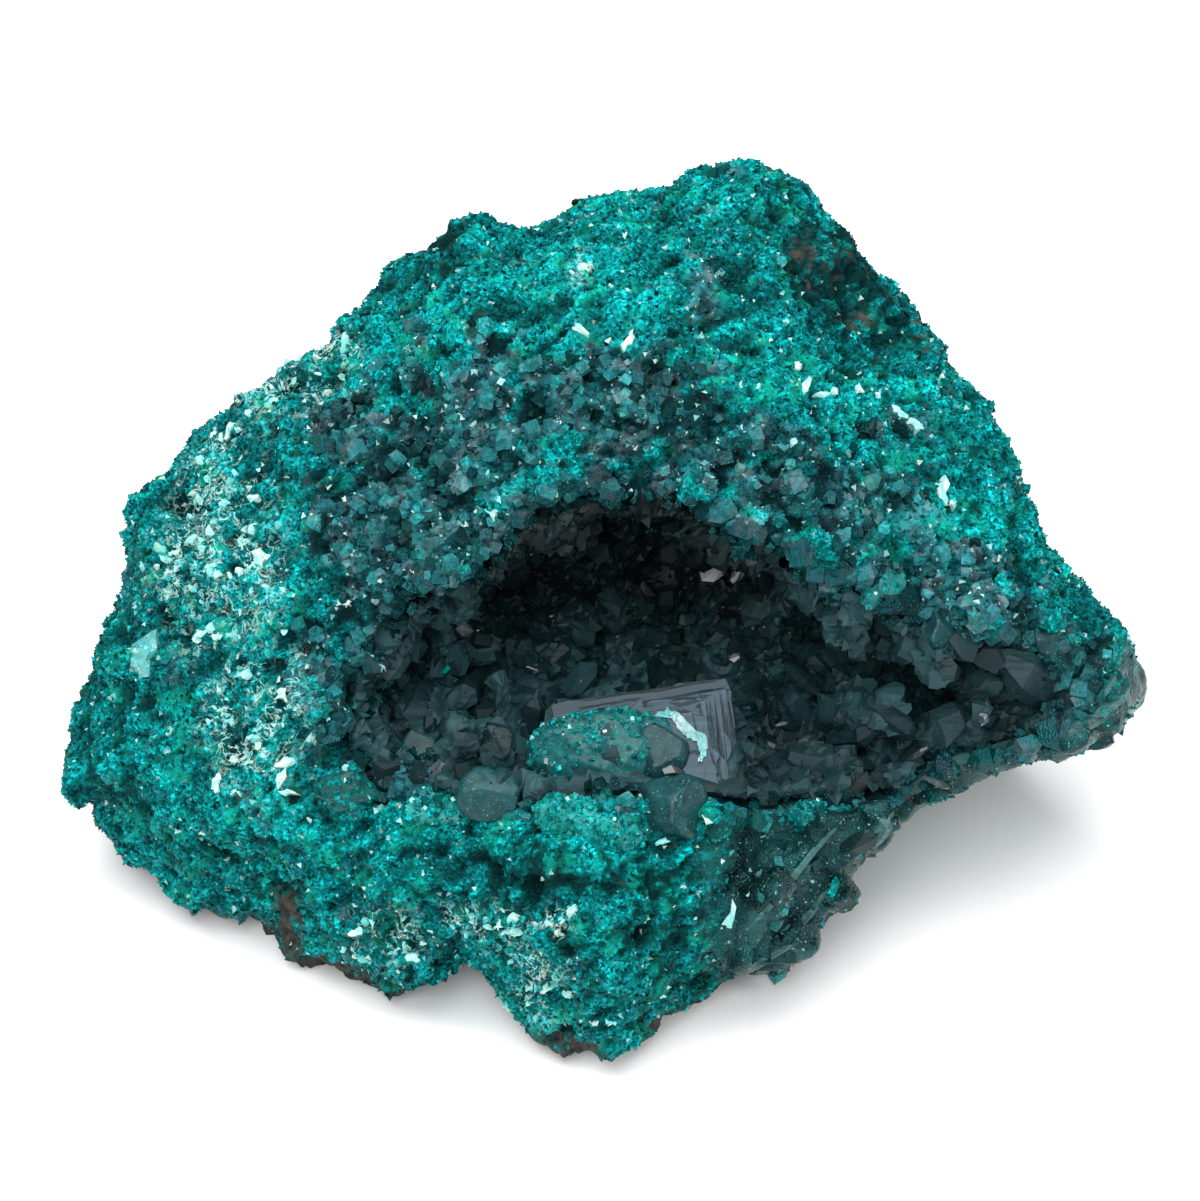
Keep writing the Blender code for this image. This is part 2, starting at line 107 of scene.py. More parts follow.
# The grey stepped crystal in the hollow: its corner, its two edges, and the layers on its face as
# (start along, start down, length along, length down, rise, brightness). The brightness is painted
# sheen, how strongly each layer mirrors the light from above.
SLAB_CORNER = (6.9, 20.6, 0.2)
SLAB_ALONG = (-1.0, -0.15, -0.05)
SLAB_DOWN = (0.15, -1.0, 0.355)
SLAB_PLATES = (
    (0.02, 0.02, 9.5, 6.6, 0.09, 0.2),
    (0.10, 0.60, 0.75, 5.9, 0.20, 0.9),
    (0.55, 0.72, 9.0, 5.8, 0.60, 0.6),
    (0.80, 0.95, 4.3, 5.4, 0.70, 0.8),
    (1.15, 1.22, 8.3, 5.2, 1.00, 0.45),
    (1.25, 1.35, 1.9, 4.9, 1.10, 1.0),
    (1.60, 1.30, 5.2, 0.9, 1.16, 0.5),
    (2.05, 1.75, 1.5, 2.6, 1.22, 0.8),
    (1.30, 4.10, 2.4, 2.0, 1.24, 0.9),
    (4.60, 0.80, 3.6, 0.8, 1.08, 0.7),
)
# Larger dark crystals that lie in the hollow: middle across and up, length, half width, slope in
# degrees, and brightness.
PRISMS = (
    (11.0, 20.6, 2.6, 0.42, -45, 0.60),
    (12.3, 21.1, 1.6, 0.50, -40, 0.45),
    (13.9, 21.8, 1.7, 0.42, -50, 0.35),
    (23.6, 20.4, 4.6, 1.25, -33, 0.30),
    (18.9, 18.1, 2.4, 1.05, 25, 0.45),
    (20.7, 18.8, 1.0, 0.45, 70, 0.80),
    (16.0, 18.4, 2.2, 0.70, -30, 0.20),
    (13.6, 17.6, 2.6, 0.80, 10, 0.15),
    (9.6, 23.4, 2.2, 0.60, 30, 0.25),
    (3.0, 22.8, 2.4, 0.60, -15, 0.30),
    (-2.4, 21.8, 2.6, 0.55, 40, 0.25),
    (-4.6, 22.6, 2.2, 0.60, -35, 0.30),
    (-6.9, 20.2, 2.4, 0.75, 60, 0.35),
    (-3.6, 18.6, 2.0, 0.70, 80, 0.25),
    (-9.6, 19.2, 2.4, 0.80, 75, 0.35),
    (-11.0, 21.4, 2.0, 0.70, 55, 0.45),
    (15.6, 23.6, 2.2, 0.60, 20, 0.25),
    (18.8, 21.0, 2.0, 0.70, -20, 0.25),
)
# The pale sheet that lies on the stepped crystal: across and up of its outer and of its inner edge.
SHEET_OUTER = ((2.9, 18.3), (3.8, 18.6), (4.5, 18.3), (5.1, 17.7), (5.8, 17.3), (5.9, 16.6), (5.6, 15.9))
SHEET_INNER = ((2.8, 18.2), (3.8, 18.2), (4.2, 17.8), (4.7, 17.2), (5.3, 16.9), (5.5, 16.4), (5.4, 15.9))
# Rounded glassy crystals: across, up, half width, half height, and the shares dark, turquoise and bright.
ROUNDED = (
    (-5.7, 14.6, 1.60, 1.40, 0.15, 0.0, 0.45),
    (3.9, 14.0, 1.80, 1.65, 0.10, 0.0, 0.35),
    (3.3, 16.8, 1.30, 1.40, 0.15, 0.0, 0.30),
    (-1.1, 13.4, 2.10, 1.50, 0.0, 0.9, 0.9),
    (1.4, 13.0, 1.20, 1.20, 0.0, 0.9, 0.5),
    (-8.3, 13.7, 1.60, 1.20, 0.0, 0.9, 0.7),
    (-13.3, 14.9, 1.50, 1.15, 0.1, 0.35, 0.3),
    (18.0, 22.8, 1.00, 1.35, 0.25, 0.0, 0.35),
    (24.1, 22.9, 0.80, 1.00, 0.30, 0.0, 0.35),
    (15.1, 25.3, 1.30, 0.95, 0.0, 0.3, 0.75),
    (-9.4, 16.8, 1.15, 1.20, 0.45, 0.0, 0.30),
    (-5.4, 17.4, 1.00, 1.00, 0.55, 0.0, 0.10),
    (10.9, 13.4, 0.90, 0.80, 0.1, 0.9, 0.4),
)
# Light and dark blades broken lengthwise, with the same numbers.
BLADES = (
    (10.3, 10.3, 7.4, 0.20, 48, 0.80),
    (10.9, 10.8, 3.4, 0.14, 53, 0.60),
    (9.4, 6.1, 2.6, 0.20, 25, 0.50),
    (10.4, 7.6, 2.2, 0.16, 35, 0.60),
    (11.6, 8.5, 2.2, 0.24, 52, 0.50),
    (14.9, 12.6, 1.9, 0.45, 60, 0.65),
    (13.9, 12.1, 2.0, 0.65, 30, 0.10),
    (17.7, 15.1, 3.0, 0.45, 25, 0.25),
    (19.8, 16.3, 3.8, 0.30, 18, 0.60),
    (22.5, 16.9, 3.4, 0.38, 12, 0.45),
    (24.6, 17.4, 3.2, 0.34, 15, 0.70),
    (26.6, 18.2, 2.8, 0.38, 20, 0.60),
    (27.8, 19.2, 2.6, 0.36, 32, 0.80),
    (28.2, 20.6, 2.2, 0.36, 48, 0.70),
)
# Single flakes: across, up, half length, half width, turn in degrees, tilt across and
# tilt up of its face, and the colour's slate, dark, pale and bright shares.
FLAKES = (
    (-8.4, 21.0, 0.50, 0.28, 50, 0.2, 0.3, 0.0, 0.0, 0.0, 1.0),
    (12.6, 9.4, 0.60, 0.30, 60, 0.2, 0.3, 0.0, 0.1, 0.2, 0.9),
    (13.2, 10.6, 0.40, 0.25, 60, 0.2, 0.3, 0.0, 0.1, 0.0, 0.9),
    (3.4, 12.2, 0.55, 0.22, 20, 0.2, 0.3, 0.2, 0.0, 0.92, 1.0),
    (5.6, 13.4, 0.40, 0.16, -30, 0.2, 0.3, 0.2, 0.0, 0.95, 1.0),
    (11.1, 36.4, 0.70, 0.20, 60, 0.2, 0.6, 0.2, 0.0, 1.0, 1.0),
    (10.6, 37.2, 0.45, 0.22, 20, 0.1, 0.7, 0.2, 0.0, 1.0, 1.0),
    (11.8, 35.7, 0.45, 0.18, 10, 0.1, 0.5, 0.2, 0.0, 0.95, 1.0),
    (12.6, 35.9, 0.40, 0.18, 0, 0.0, 0.6, 0.2, 0.0, 0.95, 1.0),
    (13.9, 36.1, 0.42, 0.30, 100, 0.1, 0.5, 0.2, 0.0, 0.95, 1.0),
    (15.0, 35.8, 0.30, 0.22, 40, 0.1, 0.5, 0.2, 0.0, 0.95, 1.0),
    (16.2, 35.0, 0.55, 0.20, -40, 0.2, 0.5, 0.2, 0.0, 1.0, 1.0),
    (17.0, 34.4, 0.50, 0.20, -10, 0.2, 0.6, 0.2, 0.0, 0.95, 1.0),
    (-1.0, 39.2, 0.60, 0.22, -50, 0.2, 0.4, 0.2, 0.0, 1.0, 1.0),
    (1.6, 38.6, 0.60, 0.24, 65, 0.1, 0.4, 0.2, 0.0, 0.95, 1.0),
    (-15.4, 17.4, 1.05, 0.26, 55, -0.1, 0.3, 0.2, 0.0, 1.0, 1.0),
    (-16.4, 16.2, 0.80, 0.26, 15, -0.1, 0.3, 0.2, 0.0, 1.0, 1.0),
    (-17.0, 15.2, 0.70, 0.26, 70, -0.1, 0.3, 0.2, 0.0, 1.0, 1.0),
    (-16.6, 14.5, 0.55, 0.24, -10, -0.1, 0.3, 0.2, 0.0, 1.0, 1.0),
    (-12.2, 21.7, 0.45, 0.34, 30, -0.1, 0.3, 0.5, 0.0, 0.9, 1.0),
    (-11.6, 21.2, 0.35, 0.26, 0, -0.1, 0.3, 0.5, 0.0, 0.9, 1.0),
    (-13.4, 24.6, 0.30, 0.30, 0, -0.1, 0.5, 0.5, 0.0, 0.95, 1.0),
    (18.4, 30.6, 0.85, 0.42, 100, 0.2, 0.3, 0.6, 0.0, 0.92, 1.0),
    (19.0, 30.0, 0.50, 0.30, 40, 0.2, 0.3, 0.6, 0.0, 0.90, 1.0),
    (21.8, 25.6, 0.55, 0.42, 90, 0.2, 0.3, 0.0, 0.0, 0.3, 1.0),
    (22.1, 25.1, 0.40, 0.30, 20, 0.2, 0.3, 0.0, 0.0, 0.3, 1.0),
    (-25.0, 21.4, 1.35, 0.70, 70, -0.4, 0.1, 0.6, 0.0, 0.866, 1.0),
    (-5.9, 8.1, 0.45, 0.24, 10, 0.0, 0.5, 0.0, 0.0, 0.915, 1.0),
    (-5.2, 7.7, 0.36, 0.20, 65, 0.0, 0.5, 0.0, 0.0, 0.93, 1.0),
    (-4.4, 8.2, 0.34, 0.26, 40, 0.0, 0.5, 0.0, 0.0, 0.92, 1.0),
    (-2.6, 8.0, 0.36, 0.22, -20, 0.0, 0.5, 0.0, 0.0, 0.93, 1.0),
    (-2.0, 7.5, 0.26, 0.20, 50, 0.0, 0.5, 0.0, 0.0, 0.91, 1.0),
    (-13.0, 7.0, 0.55, 0.35, 60, 0.0, 0.4, 0.2, 0.0, 0.95, 1.0),
    (6.9, 8.0, 0.85, 0.30, 80, 0.1, 0.3, 0.0, 0.0, 0.92, 1.0),
    (-18.2, 27.0, 0.55, 0.45, 20, -0.2, 0.4, 0.0, 0.0, 0.93, 1.0),
    (-18.6, 28.6, 0.45, 0.30, 70, -0.2, 0.4, 0.0, 0.0, 0.93, 1.0),
    (-20.6, 33.6, 0.50, 0.35, 10, -0.3, 0.4, 0.0, 0.0, 0.95, 1.0),
    (-20.2, 34.2, 0.60, 0.25, 80, -0.3, 0.4, 0.0, 0.0, 0.95, 1.0),
    (-5.6, 29.4, 0.30, 0.45, 40, -0.1, 0.3, 0.6, 0.0, 0.92, 1.0),
)
# Painted reflections in the hollow: grey flakes on faces where the light from above is mirrored, as
# across, up, half length, half width, turn in degrees, and brightness.
PAINTED_REFLECTION_FACETS = (
    (6.3, 26.4, 1.00, 0.85, 20, 0.10),
    (7.7, 26.1, 0.55, 0.40, 60, 0.30),
    (8.2, 27.0, 0.50, 0.35, 30, 0.30),
    (-7.3, 23.1, 0.62, 0.45, -20, 0.28),
    (-8.5, 15.7, 0.95, 0.36, 65, 0.50),
    (7.5, 21.7, 0.42, 0.25, 20, 0.55),
    (3.2, 22.4, 0.30, 0.20, -40, 0.35),
    (-3.7, 21.0, 0.45, 0.07, -20, 0.50),
    (20.6, 18.4, 0.55, 0.42, 25, 0.30),
    (20.8, 16.0, 0.62, 0.55, 80, 0.15),
    (17.2, 16.5, 0.75, 0.12, 35, 0.30),
    (18.2, 15.0, 0.85, 0.16, -25, 0.35),
    (11.2, 17.2, 0.45, 0.22, 20, 0.35),
    (9.9, 18.1, 0.40, 0.10, 20, 0.50),
    (9.4, 16.9, 0.30, 0.20, -20, 0.40),
    (22.8, 22.6, 0.70, 0.55, -10, 0.08),
    (13.0, 25.4, 0.50, 0.35, 10, 0.15),
    (4.0, 15.6, 0.85, 0.55, -30, 0.25),
    (-2.6, 16.3, 0.35, 0.25, 15, 0.40),
)
# The middle of the hollow's mouth, and the middle and half sizes of the rounded mass that stands in it.
MOUTH_MIDDLE = (4.5, 20.5, 1.0)
DOME_PLACE = np.array((0.7, 16.6, 1.3))
DOME_RADII = np.array((4.2, 2.3, 1.9))

# Zones of the coat as seen from the front: middle across and up, half sizes, and weight from 0 to 1.
# Slate: larger glassy crystals, dark grey-teal. Bright: fine and clean turquoise. Dark: nearly black,
# partly dark patches and partly painted shade, as along the lip below the hollow.
# Glassy: bare crystal, broken and curved, in place of the coat. Pale: a chalky film. Brown: bare rock.
SLATE_ZONES = (
    (-10.0, 28.5, 6.0, 8.5, 1.0),
    (-6.5, 34.5, 5.0, 4.0, 0.95),
    (2.0, 35.0, 5.5, 3.8, 0.95),
    (7.5, 32.0, 4.5, 3.0, 0.9),
    (13.5, 29.5, 5.0, 3.0, 0.75),
    (-14.5, 20.0, 2.5, 5.5, 0.7),
    (19.5, 25.5, 4.5, 2.5, 0.9),
    (11.5, 9.0, 5.0, 6.0, 1.0),
    (-13.5, 34.0, 3.0, 3.5, 0.7),
    (5.5, 42.0, 2.0, 2.5, 0.6),
    (16.5, 34.0, 2.5, 1.5, 0.5),
)
BRIGHT_ZONES = (
    (-1.0, 41.5, 6.0, 3.0, 1.0),
    (-9.0, 40.0, 4.0, 2.0, 0.7),
    (3.0, 46.5, 6.0, 1.8, 0.8),
    (15.5, 36.0, 6.0, 2.2, 0.8),
    (9.0, 38.5, 4.0, 1.5, 0.8),
    (0.0, 12.6, 2.6, 2.0, 0.5),
    (-17.0, 27.5, 2.0, 4.0, 0.9),
    (19.0, 29.0, 5.0, 1.6, 0.9),
    (28.0, 19.0, 3.0, 4.0, 0.5),
    (-25.0, 14.0, 4.0, 4.0, 0.4),
    (-16.0, 13.0, 5.0, 3.0, 0.25),
    (-18.0, 23.0, 2.5, 3.0, 0.6),
)
# Dark patches, and painted shade along the lip below the hollow.
DARK_AND_SHADE_ZONES = (
    (13.0, 42.5, 3.5, 3.5, 0.95),
    (16.0, 40.0, 1.8, 3.5, 0.6),
    (10.5, 46.5, 3.0, 2.5, 0.45),
    (-8.8, 43.8, 2.0, 2.4, 0.7),
    (7.0, 5.5, 3.0, 4.0, 0.5),
    (-6.0, 10.5, 3.0, 2.0, 0.3),
    (2.5, 6.0, 3.0, 3.0, 0.35),
    (-28.5, 13.0, 1.5, 3.0, 0.5),
    (-9.0, 11.0, 5.0, 2.5, 0.45),
    (-17.0, 10.5, 6.0, 3.0, 0.28),
    (27.5, 20.5, 3.0, 3.5, 0.42),
    (24.0, 18.0, 5.0, 2.5, 0.5),
    (-3.0, 10.5, 6.0, 2.4, 0.6),
    (3.0, 10.0, 4.0, 2.5, 0.35),
)
GLASSY_ZONES = (
    (12.0, 10.2, 6.4, 6.6, 1.0),
    (9.8, 6.4, 4.0, 3.2, 1.0),
    (14.5, 13.0, 4.0, 3.0, 1.0),
    (19.5, 15.5, 4.5, 1.8, 0.9),
    (26.0, 17.0, 4.5, 1.5, 0.8),
    (29.5, 19.5, 2.5, 4.0, 0.6),
)
PALE_ZONES = (
    (-20.5, 31.0, 2.6, 3.0, 0.8),
    (-20.5, 26.0, 3.2, 4.0, 1.0),
    (-18.5, 19.0, 2.6, 3.5, 1.0),
    (-17.5, 36.5, 3.0, 1.5, 0.9),
    (-14.5, 38.2, 1.5, 1.2, 0.9),
    (-6.0, 7.9, 2.6, 0.9, 1.0),
    (-2.2, 8.0, 0.8, 0.9, 0.9),
    (-3.5, 4.6, 1.8, 2.2, 0.8),
    (-11.5, 6.8, 2.2, 1.6, 0.6),
    (-1.0, 42.6, 0.7, 1.2, 0.35),
)
BROWN_ZONES = (
    (11.6, 43.2, 1.1, 2.0, 0.6),
    (14.2, 40.0, 1.2, 0.7, 0.7),
    (17.7, 39.5, 0.6, 2.0, 0.5),
    (-16.8, 7.2, 0.9, 2.2, 1.0),
    (-14.5, 4.8, 2.2, 0.8, 0.9),
    (-1.6, 0.8, 1.6, 1.2, 1.0),
    (3.6, 1.9, 1.2, 1.2, 0.9),
)


def scene_settings():
    """The sizes and colours that a user can change."""
    return bpy.context.scene.dioptase


def linear(hex_colour):
    """An sRGB hex colour as linear RGBA."""
    parts = [int(hex_colour[k : k + 2], 16) / 255 for k in (1, 3, 5)]
    return tuple(p / 12.92 if p <= 0.04045 else ((p + 0.055) / 1.055) ** 2.4 for p in parts) + (1.0,)


def in_row(places):
    """Row millimetres from (across, up, out) millimetres."""
    return FRONT_FOOT + np.asarray(places, float) @ LUMP_AXES


def in_lump(points):
    """(across, up, out) millimetres from row millimetres."""
    return (np.asarray(points) - FRONT_FOOT) @ LUMP_AXES.T


def unit(vectors):
    """The vectors with a length of 1."""
    return vectors / np.maximum(np.linalg.norm(vectors, axis=-1, keepdims=True), 1e-9)


def zone_weight(lump_points, zones):
    """How much a listed zone covers each point; zones lie on the side that the hollow looks out of."""
    across, up, out = lump_points.T
    facing = np.clip((out - ZONES_END) / FADE, 0, 1)
    total = np.zeros(len(lump_points))
    for middle_across, middle_up, half_across, half_up, weight in zones:
        away = np.hypot((across - middle_across) / half_across, (up - middle_up) / half_up)
        total = np.maximum(total, weight * np.exp(-(away**3)))
    return total * facing


def behind_share(lump):
    """How far round the back each place is, from 0 to 1."""
    return np.clip((BACK_START - lump[:, 2]) / FADE, 0, 1)


def cloudy(points, size, seed, octaves=3):
    """Smooth noise from about -1 to 1 at row points, with the size of its clouds in millimetres."""
    shift = Vector((seed * 7.3, seed * 3.1, seed * 5.7))
    return np.array([noise.fractal(Vector(p) / size + shift, 0.8, 2.0, octaves) for p in points.tolist()])


# Crystals made many at a time


def side_axes(axes, spins):
    """Two directions across each axis, turned about it by the spins."""
    helper = np.where(np.abs(axes[:, 2:3]) < 0.9, np.array([[0.0, 0.0, 1.0]]), np.array([[1.0, 0.0, 0.0]]))
    first = unit(np.cross(helper, axes))
    second = np.cross(axes, first)
    c, s = np.cos(spins)[:, None], np.sin(spins)[:, None]
    return c * first + s * second, c * second - s * first


RHOMB_FACES = np.array(((0, 1, 3, 2), (4, 6, 7, 5), (0, 4, 5, 1), (2, 3, 7, 6), (0, 2, 6, 4), (1, 5, 7, 3)))


def rhombs(middles, axes, radii, spins):
    """Closed six-sided crystals, each a rhombohedron standing on its corner."""
    first, second = side_axes(axes, spins)
    edges = []
    for k in range(3):
        turn = k * 2 * math.pi / 3
        flat = math.cos(turn) * first + math.sin(turn) * second
        edges.append(radii[:, None] * (flat + APEX_RISE * axes))
    corners = []
    for i in (-0.5, 0.5):
        for j in (-0.5, 0.5):
            for k in (-0.5, 0.5):
                corners.append(middles + i * edges[0] + j * edges[1] + k * edges[2])
    return np.stack(corners, axis=1), RHOMB_FACES


TIP_FACES = np.array(((0, 1, 2), (0, 2, 3), (0, 3, 1), (3, 2, 1)))


def tips(middles, axes, radii, spins, steepness):
    """Closed three-sided points: the tops of rhombohedra whose rest is sunk in the rock."""
    first, second = side_axes(axes, spins)
    corners = [middles + (radii * steepness)[:, None] * axes]
    for k in range(3):
        turn = k * 2 * math.pi / 3
        flat = math.cos(turn) * first + math.sin(turn) * second
        corners.append(middles + radii[:, None] * (flat - 0.45 * axes))
    return np.stack(corners, axis=1), TIP_FACES


COLUMN_FACES = np.array(
    [(k, (k + 1) % 6, 6 + (k + 1) % 6, 6 + k) for k in range(6)]
    + [(12, 6 + (k - 1) % 6, 6 + k, 6 + k + 1) for k in (0, 2, 4)]
    + [(3, 2, 1, 0), (5, 4, 3, 0)]
)


def columns(roots, axes, radii, lengths, spins, squash=1.0):
    """Closed six-sided columns that end in three rhomb faces."""
    first, second = side_axes(axes, spins)
    corners = []
    for ring in (0, 1):
        for k in range(6):
            turn = k * math.pi / 3
            flat = math.cos(turn) * first + np.reshape(squash, (-1, 1)) * math.sin(turn) * second
            rise = (lengths - radii * APEX_RISE * (2 if k % 2 == 0 else 1)) * ring
            corners.append(roots + radii[:, None] * flat + rise[:, None] * axes)
    corners.append(roots + lengths[:, None] * axes)
    return np.stack(corners, axis=1), COLUMN_FACES


def joined_mesh(name, groups, material):
    """One object from groups of (corners of many like crystals, their faces, the tints of each)."""
    points, loops, starts, tints, corner_count, loop_count = [], [], [], [], 0, 0
    for corners, faces, shares in groups:
        count, each = corners.shape[:2]
        points.append(corners.reshape(-1, 3))
        tints.append(np.repeat(shares, each, axis=0))
        shifted = faces[None] + (corner_count + np.arange(count) * each)[:, None, None]
        loops.append(shifted.ravel())
        starts.append(loop_count + np.arange(count * len(faces)) * faces.shape[1])
        corner_count += count * each
        loop_count += count * faces.size
    mesh = bpy.data.meshes.new(name)
    mesh.vertices.add(corner_count)
    mesh.vertices.foreach_set("co", (np.concatenate(points) * MM).astype(np.float32).ravel())
    mesh.loops.add(loop_count)
    mesh.loops.foreach_set("vertex_index", np.concatenate(loops).astype(np.int32))
    starts = np.concatenate(starts).astype(np.int32)
    mesh.polygons.add(len(starts))
    mesh.polygons.foreach_set("loop_start", starts)
    mesh.update(calc_edges=True)
    mesh.shade_flat()
    store_tints(mesh, np.concatenate(tints))
    return placed(name, mesh, material)


def placed(name, mesh, material):
    """The mesh as an object of this name and material that rides on the lump."""
    mesh.materials.clear()
    mesh.materials.append(material)
    obj = bpy.data.objects.new(name, mesh)
    bpy.context.scene.collection.objects.link(obj)
    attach(obj, "root")
    return obj


def move_corners(mesh, places):
    """Moves a mesh's corners to these row millimetres, kept inside the solid's box."""
    inside = np.clip(places, BOX_LOW, BOX_HIGH)
    mesh.vertices.foreach_set("co", (inside * MM).astype(np.float32).ravel())
    mesh.update()


def shares_of(count, slate=0.0, dark=0.0, pale=0.0, bright=0.0):
    """The four shares of so many crystals, one row for each."""
    return np.stack([np.zeros(count) + share for share in (slate, dark, pale, bright)], axis=1)


def store_tints(mesh, tints, name="tint"):
    """Keeps the slate, dark, pale and bright shares of each corner, for the materials to read."""
    attribute = mesh.color_attributes.new(name, "FLOAT_COLOR", "POINT")
    attribute.data.foreach_set("color", tints.astype(np.float32).ravel())


def kept_inside(corners, faces, tints, margin=0.02):
    """The crystals that stay inside the solid's own box and above the surface it lies on."""
    inside = ((corners >= BOX_LOW + margin) & (corners <= BOX_HIGH - margin)).all(axis=(1, 2))
    return corners[inside], faces, tints[inside]


def spread_out(points, spacing, rng):
    """Picks one random point from each little cube of space, so the picks are evenly spread."""
    order = rng.permutation(len(points))
    cubes = np.floor(points[order] / spacing).astype(int)
    _, picked = np.unique(cubes, axis=0, return_index=True)
    return order[picked]


class Surface:
    """The triangles of a mesh with their normals, areas and shares, for crystals to grow on."""

    def __init__(self, mesh):
        mesh.calc_loop_triangles()
        corners = np.empty(len(mesh.vertices) * 3, np.float32)
        mesh.vertices.foreach_get("co", corners)
        corners = corners.reshape(-1, 3).astype(float) / MM
        triangles = np.empty(len(mesh.loop_triangles) * 3, np.int32)
        mesh.loop_triangles.foreach_get("vertices", triangles)
        self.triangles = corners[triangles.reshape(-1, 3)]
        first, second, third = (self.triangles[:, k] for k in range(3))
        across = np.cross(second - first, third - first)
        self.areas = np.linalg.norm(across, axis=1) / 2
        self.normals = unit(across)
        self.shares = [self.read(mesh, name, triangles) for name in ("tint", "ground")]

    @staticmethod
    def read(mesh, name, triangles):
        """The shares that store_tints kept under this name, for each triangle."""
        shares = np.zeros(len(mesh.vertices) * 4, np.float32)
        if name in mesh.color_attributes:
            mesh.color_attributes[name].data.foreach_get("color", shares)
        return shares.reshape(-1, 4).astype(float)[triangles.reshape(-1, 3)].mean(axis=1)

    def scatter(self, density, rng):
        """Random points on the surface, this many to the square millimetre, with normals and shares."""
        count = int(self.areas.sum() * density)
        picks = rng.choice(len(self.areas), count, p=self.areas / self.areas.sum())
        a, b = rng.random(count), rng.random(count)
        over = a + b > 1
        a[over], b[over] = 1 - a[over], 1 - b[over]
        t = self.triangles[picks]
        points = t[:, 0] + a[:, None] * (t[:, 1] - t[:, 0]) + b[:, None] * (t[:, 2] - t[:, 0])
        return points, self.normals[picks], self.shares[0][picks], self.shares[1][picks]


def tree_of(obj):
    """A search tree of an object's triangles."""
    return tree_of_mesh(obj.data)


def tree_of_mesh(mesh):
    """A search tree of a mesh's triangles, in row millimetres."""
    mesh.calc_loop_triangles()
    points = [v.co / MM for v in mesh.vertices]
    return BVHTree.FromPolygons(points, [tuple(t.vertices) for t in mesh.loop_triangles])


def distances(tree, points):
    """How far each point is from the tree's surface."""
    return np.array([tree.find_nearest(Vector(p))[3] for p in points.tolist()])


def lined(tree, points, normals):
    """Which surface points have the hollow's lining close in front of them."""
    found = [tree.find_nearest(Vector(p)) for p in points.tolist()]
    nearest = np.array([tuple(hit[0]) for hit in found])
    away = np.array([hit[3] for hit in found])
    ahead = ((nearest - points) * normals).sum(axis=1)
    return (away < 1.0) & (ahead > 0.15), away


def seen_from_front(trees, across, up):
    """Row point and normal of the first surface met by a line of sight into the lump at each place, and
    which of the lines meet one."""
    points, normals, met = [], [], []
    for a, u in zip(across, up):
        start = Vector(in_row((a, u, 40.0)))
        hits = [tree.ray_cast(start, -Vector(OUT)) for tree in trees]
        hits = [hit for hit in hits if hit[0] is not None]
        met.append(bool(hits))
        nearest = min(hits, key=lambda hit: hit[3]) if hits else ((0, 0, 0), (0, 0, 1))
        points.append(tuple(nearest[0]))
        normals.append(tuple(nearest[1]))
    return np.array(points), np.array(normals), np.array(met)


def listed_places(trees, rows):
    """Row points and normals where the rows' first two numbers, across and up, meet the lump."""
    points, normals, met = seen_from_front(trees, rows[:, 0], rows[:, 1])
    if not met.all():
        raise ValueError(f"these places miss the lump: {rows[~met, :2].tolist()}")
    return points, normals


# Materials


def add_node(tree, kind, inputs=None, links=None, **settings):
    """Adds a node, sets its settings and inputs, and links other nodes' outputs to its inputs."""
    node = tree.nodes.new(kind)
    for name, value in settings.items():
        setattr(node, name, value)
    for key, value in (inputs or {}).items():
        node.inputs[key].default_value = value
    for key, source in (links or {}).items():
        tree.links.new(source, node.inputs[key])
    return node


def new_material(name, roughness, ior=1.67):
    """A material with its node tree and shader. Dioptase bends light by 1.64 to 1.71."""
    made = bpy.data.materials.new(name)
    made.use_nodes = True
    shader = made.node_tree.nodes["Principled BSDF"]
    shader.inputs["Roughness"].default_value = roughness
    shader.inputs["IOR"].default_value = ior
    return made, made.node_tree, shader


def druse():
    """The coat's own material, which small crystals elsewhere share."""
    return bpy.data.materials["dioptase druse"]


def feed(tree, socket, value):
    """Links an output to a socket, or sets the socket to a number, a linear colour or an sRGB hex one."""
    if isinstance(value, bpy.types.NodeSocket):
        tree.links.new(value, socket)
    else:
        socket.default_value = linear(value) if isinstance(value, str) else value


def mix_colour(tree, factor, first, second, blend="MIX"):
    """A mix of two colours, by a factor from 0 to 1."""
    node = add_node(tree, "ShaderNodeMix", data_type="RGBA", blend_type=blend)
    for index, value in ((0, factor), (6, first), (7, second)):
        feed(tree, node.inputs[index], value)
    return node.outputs[2]


def shaded(tree, colour, shade):
    """A colour made lighter and darker by a shade round 1."""
    return mix_colour(tree, 1.0, colour, shade, "MULTIPLY")


def tint_shares(tree):
    """The slate, dark, pale and bright shares that store_tints kept."""
    attribute = add_node(tree, "ShaderNodeAttribute", attribute_name="tint")
    parts = add_node(tree, "ShaderNodeSeparateColor", links={"Color": attribute.outputs["Color"]})
    return parts.outputs[0], parts.outputs[1], parts.outputs[2], attribute.outputs["Alpha"]


def object_noise(tree, size_mm, detail=3.0, roughness=0.6, distortion=0.0):
    """Noise whose clouds have a real size in millimetres."""
    place = add_node(tree, "ShaderNodeTexCoord").outputs["Object"]
    return noise_at(tree, place, size_mm, detail, roughness, distortion)


def drawn_noise(tree, size_mm, stretch, turn=0.0, detail=5.0, distortion=0.4):
    """Noise drawn out along one direction, with a real width in millimetres."""
    place = add_node(tree, "ShaderNodeTexCoord").outputs["Object"]
    settings = {"Rotation": (0.0, turn, 0.0), "Scale": (stretch, 1.0, 1.0)}
    turned = add_node(tree, "ShaderNodeMapping", settings, {"Vector": place}).outputs[0]
    return noise_at(tree, turned, size_mm, detail, 0.65, distortion)


def noise_at(tree, place, size_mm, detail, roughness, distortion):
    """Noise at places in space, with a real size in millimetres."""
    settings = {"Scale": 1 / (size_mm * MM), "Detail": detail}
    settings.update({"Roughness": roughness, "Distortion": distortion})
    return add_node(tree, "ShaderNodeTexNoise", settings, {"Vector": place}).outputs["Fac"]


